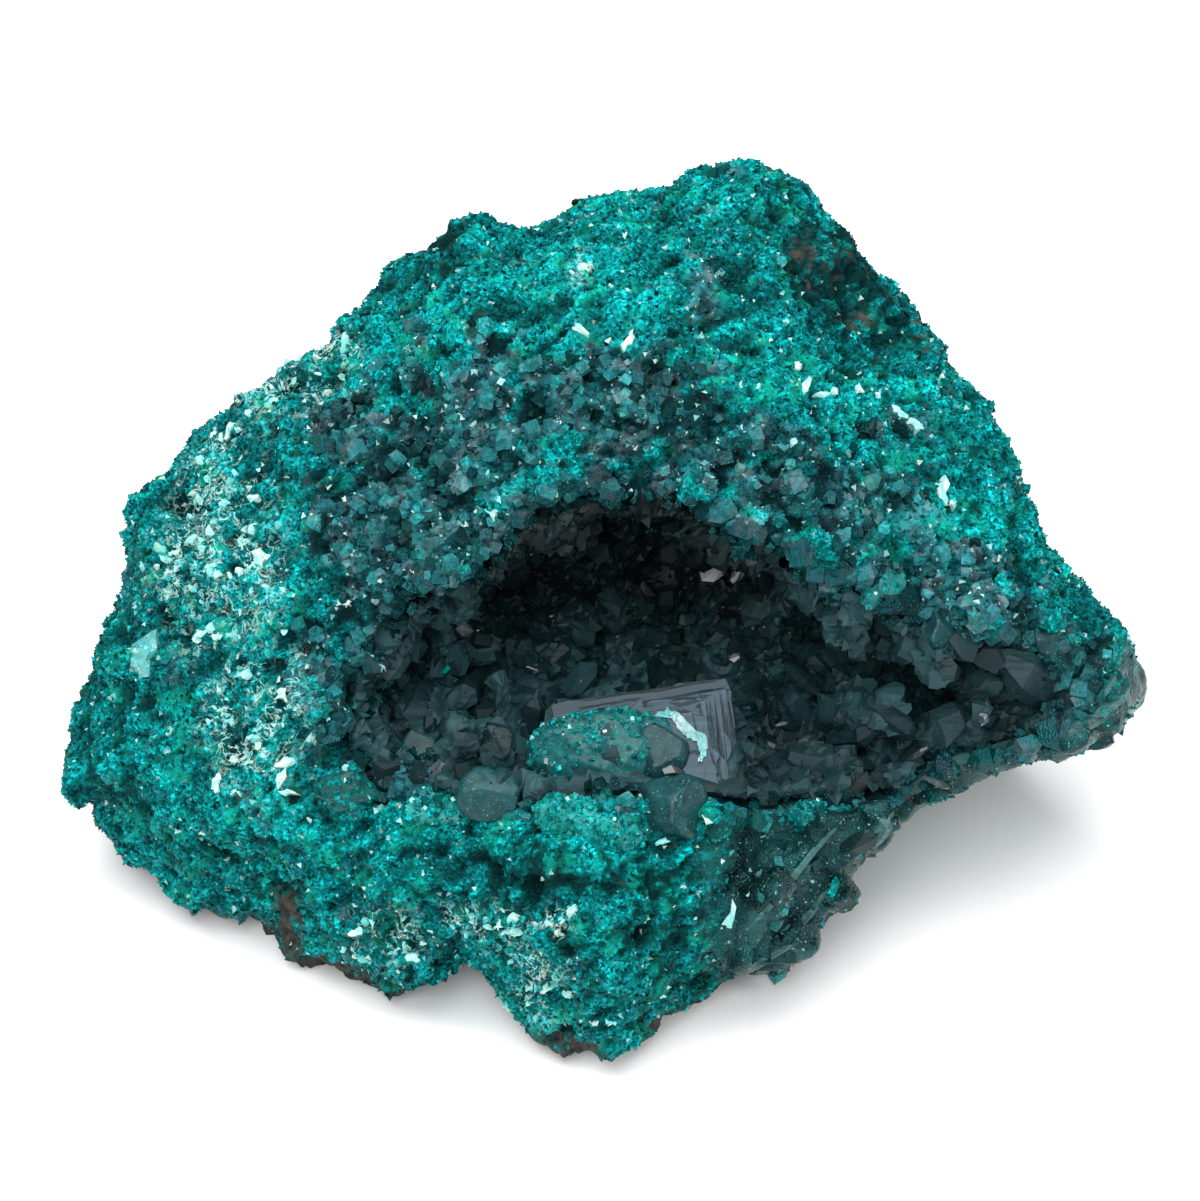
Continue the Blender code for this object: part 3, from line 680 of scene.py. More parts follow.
def ramp(tree, source, stops):
    """Greys or colours that follow the source, given as (place from 0 to 1, grey or colour)."""
    node = add_node(tree, "ShaderNodeValToRGB", links={"Fac": source})
    elements = node.color_ramp.elements
    while len(elements) < len(stops):
        elements.new(0.5)
    for element, (position, value) in zip(elements, stops):
        element.position = position
        element.color = value if isinstance(value, tuple) else (value, value, value, 1.0)
    return node.outputs["Color"]


def bump(tree, source, height_mm, strength):
    """Relief of a real height in millimetres."""
    settings = {"Distance": height_mm * MM, "Strength": strength}
    return add_node(tree, "ShaderNodeBump", settings, {"Height": source}).outputs["Normal"]


def cells(tree, size_mm):
    """Random brightness and rise of small grains with a real size in millimetres."""
    place = add_node(tree, "ShaderNodeTexCoord").outputs["Object"]
    grains = add_node(tree, "ShaderNodeTexVoronoi", {"Scale": 1 / (size_mm * MM)}, {"Vector": place})
    parts = add_node(tree, "ShaderNodeSeparateColor", links={"Color": grains.outputs["Color"]})
    return parts.outputs[0], grains.outputs["Distance"]


def share_range(tree, share, low, high, start=0.0, end=1.0):
    """A number that goes from low to high as the share goes from start to end."""
    settings = {"From Min": start, "From Max": end, "To Min": low, "To Max": high}
    return add_node(tree, "ShaderNodeMapRange", settings, {"Value": share}).outputs[0]


def worked_out(tree, kind, first, second=None):
    """A sum, product or the like of two numbers or outputs, or of one alone."""
    node = add_node(tree, "ShaderNodeMath", operation=kind)
    feed(tree, node.inputs[0], first)
    if second is not None:
        feed(tree, node.inputs[1], second)
    return node.outputs[0]


def threads(tree, size_mm, sharpness):
    """Fine branching threads with a real spacing in millimetres: 1 on a thread, 0 between."""
    field = object_noise(tree, size_mm, 3.0, 0.55, 0.8)
    off = worked_out(tree, "ABSOLUTE", worked_out(tree, "SUBTRACT", field, 0.5))
    return share_range(tree, off, 1.0, 0.0, 0.0, sharpness)


def fibres(tree, size_mm):
    """Noise drawn out along the broken crystals, which run up to the right."""
    return drawn_noise(tree, size_mm, 0.15, 0.75)


def druse_colour(tree):
    """Turquoise where clean, lighter on high places as painted light, slate where larger and glassy,
    black-green in dark patches and as painted shade in the pits and creases, and chalky along fine threads
    where a pale film covers it and on painted glints; and the rise of its sugary grains."""
    settings = scene_settings().coat
    slate, dark, pale, bright = tint_shares(tree)
    # The bright share is partly random tone and partly painted light on the high places of the skin.
    turquoise = mix_colour(tree, bright, tuple(settings.deep) + (1,), tuple(settings.bright) + (1,))
    # Sugary grains 0.15 mm across, too fine to be pieces of their own.
    sugar, rise = cells(tree, 0.15)
    grains = ramp(tree, sugar, ((0.0, 0.22), (0.7, 0.95), (1.0, 1.8)))
    turquoise = shaded(tree, turquoise, grains)
    clouds = ramp(tree, object_noise(tree, 0.3, 3.0), ((0.3, 0.5), (0.7, 1.5)))
    # Some clumps are emerald, and some of the glassy crystals let the grey rock show through.
    green = mix_colour(tree, bright, "#033f38", "#0c9a83")
    clumps = ramp(tree, object_noise(tree, 1.5, 3.0, 0.65), ((0.50, 0.0), (0.62, 0.85)))
    turquoise = mix_colour(tree, clumps, turquoise, green)
    colour = mix_colour(tree, bright, "#08242b", "#32747b")
    stone = mix_colour(tree, bright, "#1b2229", "#5f6b72")
    grey_clumps = ramp(tree, object_noise(tree, 1.2, 3.0, 0.65, 0.3), ((0.50, 0.0), (0.58, 0.8)))
    colour = mix_colour(tree, grey_clumps, colour, stone)
    colour = shaded(tree, colour, clouds)
    colour = mix_colour(tree, slate, turquoise, colour)
    # The dark share is partly dark patches and partly painted shade, in the pits and creases and along the
    # lip.
    colour = mix_colour(tree, dark, colour, "#021313")
    blotches = ramp(tree, object_noise(tree, 1.7, 3.0, 0.6), ((0.43, 0.0), (0.55, 1.0)))
    film = worked_out(tree, "MULTIPLY", pale, blotches)
    film = worked_out(tree, "MULTIPLY", film, threads(tree, 0.8, 0.045))
    # Pale shares above 0.85 are wholly chalk: the flakes of pale film, and the painted glints.
    film = worked_out(tree, "MAXIMUM", film, share_range(tree, pale, 0.0, 1.0, 0.85, 0.95))
    chalk = ramp(tree, object_noise(tree, 0.7, 2.0), ((0.40, 0.0), (0.60, 1.0)))
    chalk = mix_colour(tree, chalk, "#c8dccf", "#8fdcdc")
    colour = mix_colour(tree, film, colour, chalk)
    return colour, rise, slate


def coat_material():
    """Dioptase druse, a coat of fine crystals: sugary and nearly dull, with larger crystals that shine."""
    made, tree, shader = new_material("dioptase druse", 0.5)
    colour, rise, slate = druse_colour(tree)
    tree.links.new(colour, shader.inputs["Base Color"])
    tree.links.new(share_range(tree, slate, 0.5, 0.25), shader.inputs["Roughness"])
    tree.links.new(share_range(tree, slate, 0.07, 0.22), shader.inputs["Specular IOR Level"])
    # Light that sparkles out of the crystals has their own colour.
    shader.inputs["Specular Tint"].default_value = (0.15, 0.85, 0.9, 1.0)
    tree.links.new(bump(tree, rise, 0.06, 0.7), shader.inputs["Normal"])
    return made


def glassy_druse_material():
    """Large glassy crystals of the coat: clearer and smoother than the druse, with small light spots that
    are painted glints.
    """
    made, tree, shader = new_material("dioptase crystal, rounded", 0.3)
    _, dark, clean, bright = tint_shares(tree)
    clouds = ramp(tree, object_noise(tree, 0.6, 4.0, 0.6), ((0.3, 0.55), (0.7, 1.5)))
    body = mix_colour(tree, bright, "#082225", "#225a5e")
    turquoise = mix_colour(tree, bright, "#034a48", "#0a8680")
    body = mix_colour(tree, clean, body, turquoise)
    body = shaded(tree, body, clouds)
    # Painted glints: small light spots on the glassy crystals.
    specks_and_painted_glints = ramp(tree, object_noise(tree, 0.12, 2.0, 0.5), ((0.65, 0.0), (0.72, 0.45)))
    body = mix_colour(tree, specks_and_painted_glints, body, "#7fb9b8")
    tree.links.new(mix_colour(tree, dark, body, "#060d0f"), shader.inputs["Base Color"])
    shader.inputs["Specular IOR Level"].default_value = 0.12
    tree.links.new(bump(tree, object_noise(tree, 0.35, 3.0), 0.03, 0.5), shader.inputs["Normal"])
    return made


def glass_material(name, deep, light, roughness, shine):
    """Grown dioptase crystals: glassy flat faces, so dark a green that they look nearly black, with
    fine growth lines and a dull film that takes away most of the shine, and painted shade deep in the
    hollow."""
    made, tree, shader = new_material(name, roughness)
    _, dark, _, bright = tint_shares(tree)
    body = mix_colour(tree, bright, deep, light)
    film = ramp(tree, object_noise(tree, 0.9, 4.0, 0.65), ((0.45, 0.0), (0.75, 0.5)))
    body = mix_colour(tree, film, body, "#1c2f31")
    # The dark share is painted shade where the light doesn't reach into the hollow.
    body = mix_colour(tree, dark, body, "#060b0d")
    tree.links.new(body, shader.inputs["Base Color"])
    tree.links.new(share_range(tree, film, roughness, roughness + 0.3), shader.inputs["Roughness"])
    shader.inputs["Specular IOR Level"].default_value = shine
    lines = object_noise(tree, 0.35, 3.0, 0.6, 0.4)
    tree.links.new(bump(tree, lines, 0.02, 0.5), shader.inputs["Normal"])
    return made


def skin_material():
    """The lump's own surface: a porous skin of the finest dioptase, limonite-brown where bare, and dark
    bottle-green glass where whole crystals are broken across."""
    made, tree, shader = new_material("porous dioptase skin and broken crystal", 0.6, 1.6)
    colour, rise, _ = druse_colour(tree)
    shares = add_node(tree, "ShaderNodeAttribute", attribute_name="ground")
    shares = add_node(tree, "ShaderNodeSeparateColor", links={"Color": shares.outputs["Color"]})
    bare, glassy, tone = shares.outputs[0], shares.outputs[1], shares.outputs[2]
    specks_and_painted_glints = ramp(tree, object_noise(tree, 0.45, 5.0, 0.7), ((0.3, 0.0), (0.72, 1.0)))
    brown = mix_colour(tree, specks_and_painted_glints, "#0b0d0c", "#4b4842")
    colour = mix_colour(tree, bare, colour, brown)
    deep = ramp(tree, object_noise(tree, 2.4, 2.0, 0.5, 0.6), ((0.38, 0.0), (0.62, 1.0)))
    glass = mix_colour(tree, deep, "#071819", "#143636")
    streaks = ramp(tree, fibres(tree, 0.35), ((0.3, 0.7), (0.7, 1.35)))
    glass = shaded(tree, glass, streaks)
    glass = shaded(tree, glass, ramp(tree, tone, ((0.0, 0.55), (1.0, 1.45))))
    # Painted glints: small pale patches on the broken glass.
    painted_glints = ramp(tree, object_noise(tree, 0.2, 2.0, 0.5), ((0.66, 0.0), (0.72, 0.8)))
    glass = mix_colour(tree, painted_glints, glass, "#6fa8a6")
    tree.links.new(mix_colour(tree, glassy, colour, glass), shader.inputs["Base Color"])
    tree.links.new(share_range(tree, glassy, 0.6, 0.25), shader.inputs["Roughness"])
    tree.links.new(share_range(tree, glassy, 0.06, 0.2), shader.inputs["Specular IOR Level"])
    shader.inputs["Specular Tint"].default_value = (0.3, 0.9, 0.95, 1.0)
    tree.links.new(bump(tree, rise, 0.06, 0.8), shader.inputs["Normal"])
    return made


# Pieces


def remeshed_copy(source, name, voxel_mm):
    """A copy of a solid's mesh as fine even quads, so that it can be roughened."""
    obj = bpy.data.objects.new(name, source.data.copy())
    bpy.context.scene.collection.objects.link(obj)
    modifier = obj.modifiers.new("even_quads", "REMESH")
    modifier.mode = "VOXEL"
    modifier.voxel_size = voxel_mm * MM
    graph = bpy.context.evaluated_depsgraph_get()
    mesh = bpy.data.meshes.new_from_object(obj.evaluated_get(graph))
    bpy.data.objects.remove(obj)
    mesh.name = name
    return mesh


def vertex_array(mesh, name):
    """A vector of each corner of a mesh, such as its place or normal."""
    values = np.empty(len(mesh.vertices) * 3, np.float32)
    mesh.vertices.foreach_get(name, values)
    return values.reshape(-1, 3).astype(float)


def knobs(points, size, seed):
    """Rounded lumps, 0.5 at their tops and falling to about -0.4 in the creases between them."""
    shift = Vector((seed * 5.3, seed * 2.9, seed * 8.1))
    return np.array([0.5 - noise.voronoi(Vector(p) / size + shift)[0][0] for p in points.tolist()])


def facets(points, size, seed):
    """Heights of flat faces that tilt at random, each about this many millimetres across, from about
    -0.5 to 0.5 of their size; and a random number from 0 to 1 for each face."""
    shift = Vector((seed * 4.7, seed * 6.1, seed * 3.3))
    heights, tones = [], []
    for p in points.tolist():
        place = Vector(p) / size + shift
        spot = noise.voronoi(place)[1][0]
        tilt = 2.0 * noise.cell_vector(spot * 37.0) - Vector((1.0, 1.0, 1.0))
        tones.append(noise.cell(spot * 53.0))
        heights.append((place - spot).dot(tilt) + 0.3 * tones[-1])
    return np.array(heights) * size, np.array(tones) % 1.0


def pit_share(points):
    """Where the small holes of the porous skin are: 1 in a hole, 0 away from it."""
    holes = np.clip((knobs(points, 1.05, 21) - 0.16) / 0.16, 0, 1)
    here = np.clip(1.4 * cloudy(points, 3.0, 22, 2) + 0.55, 0, 1)
    caves = np.clip((cloudy(points, 1.5, 23, 2) - 0.42) * 5, 0, 1)
    return np.maximum(holes * here, caves)


def bare_share(points):
    """How bare and brown the rock is at each row point: the listed patches, the underside, and
    scattered patches on the sides that the photo leaves out."""
    lump = in_lump(points)
    ragged = 0.5 * cloudy(points, 1.2, 4)
    broken = cloudy(points, 0.8, 9, 2)
    listed = np.clip(3.0 * (zone_weight(lump, BROWN_ZONES) + 0.25 * ragged + 0.7 * broken - 0.45), 0, 1)
    below = np.clip((2.2 - points[:, 2]) / 1.5 + ragged, 0, 1)
    behind = behind_share(lump)
    scattered = np.clip((cloudy(points, 5.0, 5) - 0.30) * 6, 0, 1) * behind
    return np.clip(np.maximum(np.maximum(listed, below), scattered), 0, 1)


def ripples(points):
    """Small ridges that run up to the right over the lump, from about -0.5 to 0.5."""
    lump = in_lump(points)
    along = 0.9 * lump[:, 0] + 0.43 * lump[:, 1]
    over = -0.43 * lump[:, 0] + 0.9 * lump[:, 1]
    stretched = np.stack([along * 0.45, over, lump[:, 2]], axis=1)
    return 0.5 - 2.2 * np.abs(cloudy(stretched, 1.3, 24, 2))


# How far across the flat faces are: of broken crystal, and of the hollow's large and small crystals.
BROKEN_FACE, LARGE_FACE, SMALL_FACE = 2.6, 2.1, 0.95
# Sizes of the even quads that the rock and the hollow's crust are made of before they are roughened.
SKIN_QUAD, LINING_QUAD = 0.46, 0.29


def roughen(mesh):
    """Lumps, ripples and pits on the skin, from 3 mm down to 0.5 mm, kept inside the solid's box. Broken
    crystal stays smoother, with flat faces and the curved ripples of its fracture. Gives back how glassy
    each place of the skin is, how dark it is with painted shade in its pits and creases, how high it is,
    which later paints the high places lighter, and the tones of its flat faces."""
    points = vertex_array(mesh, "co") / MM
    normals = vertex_array(mesh, "normal")
    lump = in_lump(points)
    glassy = np.clip(zone_weight(lump, GLASSY_ZONES) * 2.2 - 0.4, 0, 1)
    pits = pit_share(points) * (1 - glassy)
    broad = knobs(points, 3.0, 1) + 0.6 * cloudy(points, 2.2, 8, 2)
    fine = ripples(points)
    grit = cloudy(points, 0.5, 3, 2)
    fracture = np.sin(np.hypot(lump[:, 0] - 15.5, lump[:, 1] - 1.5) * 5.2 + 2.0 * cloudy(points, 2.5, 6, 2))
    flats, tones = np.zeros(len(points)), np.zeros(len(points))
    some = glassy > 0.01
    flats[some], tones[some] = facets(points[some], BROKEN_FACE, 51)
    smooth = 0.05 * fracture + np.clip(0.32 * flats - 0.10, -0.45, 0.08)
    rise = (0.62 * broad + 0.26 * fine + 0.16 * grit) * (1 - glassy) + smooth * glassy - 0.5 * pits
    lifted = points + normals * rise[:, None]
    rests = points[:, 2] < 0.15
    lifted[rests, 2] = points[rests, 2]
    move_corners(mesh, lifted)
    # Painted shade in the creases between the lumps; the heights later paint the high places lighter.
    painted_crease_shade = np.clip(-1.3 * broad - 0.8 * fine - 0.1, 0, 1)
    heights = 0.5 * broad + 0.7 * fine + 0.5 * grit
    return glassy, np.maximum(pits, 0.75 * painted_crease_shade) * (1 - glassy), heights, tones


def refined(mesh, crust):
    """Halves the mesh size everywhere but on the wall behind the hollow's lining and underneath."""
    bm = bmesh.new()
    bm.from_mesh(mesh)
    bm.normal_update()
    middles = np.array([tuple(face.calc_center_median()) for face in bm.faces]) / MM
    normals = np.array([tuple(face.normal) for face in bm.faces])
    hidden = lined(crust, middles, normals)[0] | (middles[:, 2] < 0.2)
    edges = set()
    for face, skip in zip(bm.faces, hidden.tolist()):
        if not skip:
            edges.update(face.edges)
    bmesh.ops.subdivide_edges(bm, edges=list(edges), cuts=1, use_grid_fill=True)
    bm.to_mesh(mesh)
    bm.free()
    mesh.update()


def half_of(mesh, name, side):
    """One half of the closed skin, cut at the middle plane and closed there again."""
    bm = bmesh.new()
    bm.from_mesh(mesh)
    everything = bm.verts[:] + bm.edges[:] + bm.faces[:]
    found = bmesh.ops.bisect_plane(
        bm, geom=everything, plane_co=(0, 0, 0), plane_no=(-side, 0, 0), clear_outer=True
    )
    rim = [item for item in found["geom_cut"] if isinstance(item, bmesh.types.BMEdge)]
    bmesh.ops.triangle_fill(bm, edges=rim, use_beauty=True, normal=(-side, 0, 0))
    for edge in rim:
        edge.smooth = False
    half = bpy.data.meshes.new(name)
    bm.to_mesh(half)
    bm.free()
    return half


def make_skin():
    """The rock's skin in place of the plain solid, in two halves; gives back the whole of it."""
    crust = tree_of(frame["nodes"]["cavity_crystals"])
    mesh = remeshed_copy(frame["nodes"]["matrix"], "skin", SKIN_QUAD)
    refined(mesh, crust)
    mesh.shade_smooth()
    glassy, pits, heights, tones = roughen(mesh)
    points = vertex_array(mesh, "co") / MM
    mouth = lined(crust, points, vertex_array(mesh, "normal"))[1]
    rng = np.random.default_rng(2)
    # The coat's tints take painted shade in the pits and creases and painted light on the high places.
    store_tints(mesh, coat_tints(points, pits, mouth, heights, 0.05, rng))
    store_tints(mesh, shares_of(len(points), bare_share(points), glassy, tones), "ground")
    material = skin_material()
    halves = [
        placed(name, half_of(mesh, name, side), material)
        for name, side in (("skin_left", -1), ("skin_right", 1))
    ]
    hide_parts("matrix")
    return Surface(mesh)


def coat_tints(points, pits, mouth, heights, scatter, rng):
    """The shares of slate, dark, pale and bright at row points. Pits is the painted shade of the skin's
    pits and creases, mouth how far each is from the lining of the hollow, heights how proud of the skin it
    stands, which paints the proud places lighter, and scatter how unlike neighbours are."""
    lump = in_lump(points)
    count = len(points)
    patches = cloudy(points, 1.7, 31, 3)
    behind = behind_share(lump)
    # The coat turns slate towards the mouth, less so along the lower left lip.
    lip = np.clip((15.5 - lump[:, 1]) / 2.0, 0, 1)
    mouth_zone = np.exp(-((mouth / 2.2) ** 2)) * (1 - 0.75 * lip)
    zone = np.maximum(zone_weight(lump, SLATE_ZONES), 0.75 * behind * (cloudy(points, 8.0, 11) > 0.05))
    zone = np.maximum(zone, mouth_zone)
    slate = np.clip((zone + 0.7 * patches - 0.42) * 4.0, 0, 1) * (1 - 1.2 * scatter * rng.random(count))
    zone = np.maximum(zone_weight(lump, BRIGHT_ZONES), 0.5 * behind * (cloudy(points, 6.0, 12) > 0))
    # Painted light: places that stand proud of the skin are made brighter.
    bright = 0.30 + 0.45 * zone + 0.4 * cloudy(points, 2.2, 32, 3) + 0.45 * heights
    bright = bright + rng.normal(0, scatter, count)
    # Dark: the dark patches and painted shade of the listed zones, with random tone.
    dark = np.clip(2.6 * (zone_weight(lump, DARK_AND_SHADE_ZONES) + 0.7 * cloudy(points, 0.9, 33, 2) - 0.35), 0, 0.9)
    # Painted shade in the skin's pits and creases.
    dark = np.maximum(dark, 0.95 * pits)
    pale = np.minimum(1.5 * zone_weight(lump, PALE_ZONES), 0.84)
    return np.clip(np.stack([slate, dark, pale, bright], axis=1), 0, 1)


# The coat's layers: kind of crystal, spacing, chance that one grows, how much slate adds to the chance
# and dark takes off it, and share of crystals made pale as painted glints. The first layer's spacing is
# a setting.
COAT_LAYERS = (
    ("tips", None, 1.0, 0.0, 0.8, 0.06),
    ("rhombs", 0.75, 0.06, 0.7, 0.5, 0.012),
    ("columns", 1.1, 0.01, 0.75, 0.6, 0.0),
)
SECTORS = ("top_left", "top_right", "front_left", "front_right", "back_left", "back_right")


def make_coat():
    """The coat of small crystals on the skin, as one piece for each part of the lump."""
    settings = scene_settings().coat
    rng = np.random.default_rng(settings.seed)
    surface = make_skin()
    everywhere = surface.scatter(60.0, rng)
    crust = tree_of(frame["nodes"]["cavity_crystals"])
    layers = []
    for kind, spacing, anywhere, by_slate, by_dark, painted_glint_share in COAT_LAYERS:
        picks = spread_out(everywhere[0], spacing or settings.spacing / MM, rng)
        points, normals, under, ground = (part[picks] for part in everywhere)
        covered = lined(crust, points, normals)[0]
        bits = cloudy(points, 1.4, 35, 2) > 0.62
        bare = np.maximum(ground[:, 0], ground[:, 1] * ~bits)
        chance = anywhere + by_slate * under[:, 0] - by_dark * under[:, 1]
        keep = ~covered & (points[:, 2] > 0.3) & (rng.random(len(points)) > 0.97 * bare)
        keep &= rng.random(len(points)) < chance
        tints = under[keep].copy()
        tints[:, 3] = np.clip(tints[:, 3] + rng.normal(0.05, 0.40, keep.sum()), 0, 1)
        tints[:, 0] *= rng.uniform(0.6, 1.0, keep.sum())
        darker = np.clip(rng.random(keep.sum()) * 2.6 - 1.6, 0, 0.9)
        tints[:, 1] = np.maximum(tints[:, 1], darker)
        # Painted glints: some crystals, more of them where slate, get a pale share that makes them
        # chalk-white.
        painted_glints = rng.random(keep.sum()) < painted_glint_share * (1.0 + 1.5 * tints[:, 0])
        tints[:, 2] = np.maximum(tints[:, 2], painted_glints * rng.uniform(0.87, 0.94, keep.sum()))
        layers.append((kind, points[keep], normals[keep], tints))
    material = coat_material()
    for index, name in enumerate(SECTORS):
        groups = [
            coat_group(kind, rng, *(part[sector_of(points) == index] for part in (points, normals, tints)))
            for kind, points, normals, tints in layers
        ]
        joined_mesh("coat_" + name, groups, material)


def coat_group(kind, rng, points, normals, tints, scale=1.0):
    """Many crystals of one kind at the points, with their tints."""
    count = len(points)
    spins = rng.uniform(0, math.tau, count)
    slate = tints[:, 0]
    if kind == "tips":
        axes = unit(normals + rng.normal(0, 0.40, (count, 3)))
        radii = 0.10 + 0.16 * rng.random(count) ** 1.5
        corners, faces = tips(points, axes, radii, spins, rng.uniform(0.5, 1.3, count))
    elif kind == "rhombs":
        axes = unit(normals + rng.normal(0, 0.50, (count, 3)))
        radii = rng.uniform(0.16, 0.32, count) + 0.18 * slate * rng.random(count)
        corners, faces = rhombs(points + 0.05 * axes, axes, radii, spins)
    else:
        axes = unit(normals + rng.normal(0, 0.45, (count, 3)))
        radii = rng.uniform(0.28, 0.46, count) + 0.35 * slate * rng.random(count) ** 2
        lengths = radii * rng.uniform(1.4, 2.0, count)
        corners, faces = columns(points - 0.8 * radii[:, None] * axes, axes, radii, lengths, spins, 0.9)
    corners = corners + rng.normal(0, 0.09, corners.shape) * radii[:, None, None]
    corners = points[:, None] + scale * (corners - points[:, None])
    return kept_inside(corners, faces, tints)


def sector_of(points):
    """Which of the coat's sectors each crystal belongs to."""
    right = (points[:, 0] > 0).astype(int)
    front = points[:, 1] < 0
    return np.where(points[:, 2] > 24.0, right, np.where(front, 2 + right, 4 + right))


def column_group(rng, points, axes, radii, lengths, tints, sunk=0.8, squash=0.88, ragged=0.05):
    """Columns rooted below the points, a little irregular, with their tints."""
    spins = rng.uniform(0, math.tau, len(points))
    roots = points - sunk * radii[:, None] * axes
    corners, faces = columns(roots, axes, radii, lengths, spins, squash)
    corners = corners + rng.normal(0, ragged, corners.shape) * radii[:, None, None]
    return kept_inside(corners, faces, tints)


def seam_group(rng, rim_points):
    """Crystals on the edge of the lining, from the coat's slate to the hollow's dark green."""
    tree = KDTree(len(rim_points))
    for index, point in enumerate(rim_points.tolist()):
        tree.insert(point, index)
    tree.balance()
    points, normals, _, _ = Surface(bpy.data.objects["hollow_lining"].data).scatter(15.0, rng)
    away = np.array([tree.find(point)[2] for point in points.tolist()])
    keep = (away < 0.8) & ~kept_clear(points, False)
    points, normals, away = points[keep], normals[keep], away[keep]
    picks = spread_out(points, 0.58, rng)
    points, normals, away = points[picks], normals[picks], away[picks]
    count = len(points)
    slate = rng.uniform(0.8, 1.0, count)
    dark = np.clip(0.35 + away / 1.1 + rng.normal(0, 0.2, count), 0, 0.9)
    tints = shares_of(count, slate, dark, 0.0, 0.6 * rng.random(count))
    return coat_group("rhombs", rng, points, normals, tints)


def make_rim():
    """Glassy crystals that hang round the mouth of the hollow and close the seam of its lining."""
    rng = np.random.default_rng(29)
    crust = tree_of(frame["nodes"]["cavity_crystals"])
    everywhere = Surface(bpy.data.meshes["skin"]).scatter(25.0, rng)
    covered, away = lined(crust, everywhere[0], everywhere[1])
    keep = (away < 1.1) & ~covered & (everywhere[0][:, 2] > 1.0)
    everywhere = [part[keep] for part in everywhere]
    middle = in_row([MOUTH_MIDDLE])[0]
    groups = []
    for spacing, low, high in ((1.2, 0.35, 0.75), (0.68, 0.22, 0.44)):
        picks = spread_out(everywhere[0], spacing, rng)
        points, normals, under, _ = (part[picks] for part in everywhere)
        count = len(points)
        lump = in_lump(points)
        right = np.clip((lump[:, 0] - 8.0) / 6.0, 0, 1) * np.clip((lump[:, 1] - 15.0) / 3.0, 0, 1)
        lower = np.clip((16.5 - lump[:, 1]) / 2.0, 0, 1)
        axes = unit(normals + 0.4 * unit(middle - points) + rng.normal(0, 0.4, (count, 3)))
        radii = rng.uniform(low, high, count) * (1 + 0.35 * right - 0.25 * lower)
        tints = under.copy()
        tints[:, 0] = np.maximum(tints[:, 0], rng.uniform(0.6, 1.0, count) * (1 - 0.5 * lower))
        tints[:, 1] = np.maximum(tints[:, 1], rng.uniform(0.0, 0.7, count) + 0.2 * right)
        groups.append(column_group(rng, points, axes, radii, radii * rng.uniform(1.5, 2.4, count), tints))
    groups.append(seam_group(rng, everywhere[0]))
    joined_mesh("rim_crystals", groups, druse())


def slab_axes():
    """Corner, the two edges' directions and outward direction of the grey stepped crystal, in row axes."""
    corner = in_row([SLAB_CORNER])[0]
    along = unit(np.array(SLAB_ALONG)) @ LUMP_AXES
    down = np.array(SLAB_DOWN) @ LUMP_AXES
    down = unit(down - (down @ along) * along)
    out = unit(np.cross(along, down))
    return corner, along, down, out if out @ OUT > 0 else -out


# The room that the stepped crystal takes along its two edges and out of its face, each from and to.
SLAB_ROOM = ((-0.2, 9.8), (-0.4, 7.5), (-0.8, 3.0))


def kept_clear(points, large):
    """Points in the hollow that belong to the stepped crystal or to the rounded mass in front of it, and
    the lip before them when the crystals are large."""
    corner, *axes = slab_axes()
    on_slab = np.ones(len(points), bool)
    for axis, (low, high) in zip(axes, SLAB_ROOM):
        along = (points - corner) @ axis
        on_slab &= (along > low) & (along < high)
    lump = in_lump(points)
    dome = np.linalg.norm((lump - DOME_PLACE) / (DOME_RADII + 0.6), axis=1) < 1.1
    front = (np.abs(lump[:, 0] - 1.0) < 5.0) & (np.abs(lump[:, 1] - 15.0) < 2.5) & (lump[:, 2] > 0.5)
    return on_slab | dome | (front & large)


# Kinds of crystals in the hollow: shape, spacing, lowest and highest radius, and share that grew.
HOLLOW_LAYERS = (
    ("columns", 2.3, 0.35, 0.85, 0.7),
    ("tips", 0.85, 0.18, 0.36, 0.7),
)


def shade_of(lump):
    """How dark it is at places in the hollow: the light doesn't reach its top or the gap by the ledge."""
    high = np.clip((lump[:, 1] - 20.8) / 4.6, 0, 1)
    middle = np.clip((9.5 - np.abs(lump[:, 0] - 1.5)) / 3.0, 0, 1)
    ledge = np.exp(-(((lump[:, 0] - 12.0) / 6.0) ** 2) - ((lump[:, 1] - 16.5) / 3.0) ** 2)
    far = np.clip((lump[:, 0] - 17.0) / 4.0, 0, 1)
    return np.maximum(0.85 * high * middle, np.maximum(0.55 * ledge, 0.35 * far))


def make_lining(material):
    """The hollow's crust with the faces of its many crystals, in place of the plain one."""
    mesh = remeshed_copy(frame["nodes"]["cavity_crystals"], "hollow_lining", LINING_QUAD)
    points = vertex_array(mesh, "co") / MM
    normals = vertex_array(mesh, "normal")
    clear = kept_clear(points, False)
    large, tones = facets(points, LARGE_FACE, 14)
    small, more_tones = facets(points, SMALL_FACE, 15)
    rise = (0.42 * large + 0.38 * small) * ~clear
    move_corners(mesh, points + normals * rise[:, None])
    mesh.shade_flat()
    # Painted shade where the light doesn't reach into the hollow, with some random tone.
    dark = np.clip(shade_of(in_lump(points)) + 0.25 * cloudy(points, 1.5, 16, 2), 0, 0.95)
    bright = np.clip(0.65 * tones**1.4 + 0.35 * more_tones, 0, 1)
    store_tints(mesh, shares_of(len(points), 0.0, dark, 0.0, bright))
    obj = placed("hollow_lining", mesh, material)
    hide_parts("cavity_crystals")
    return obj


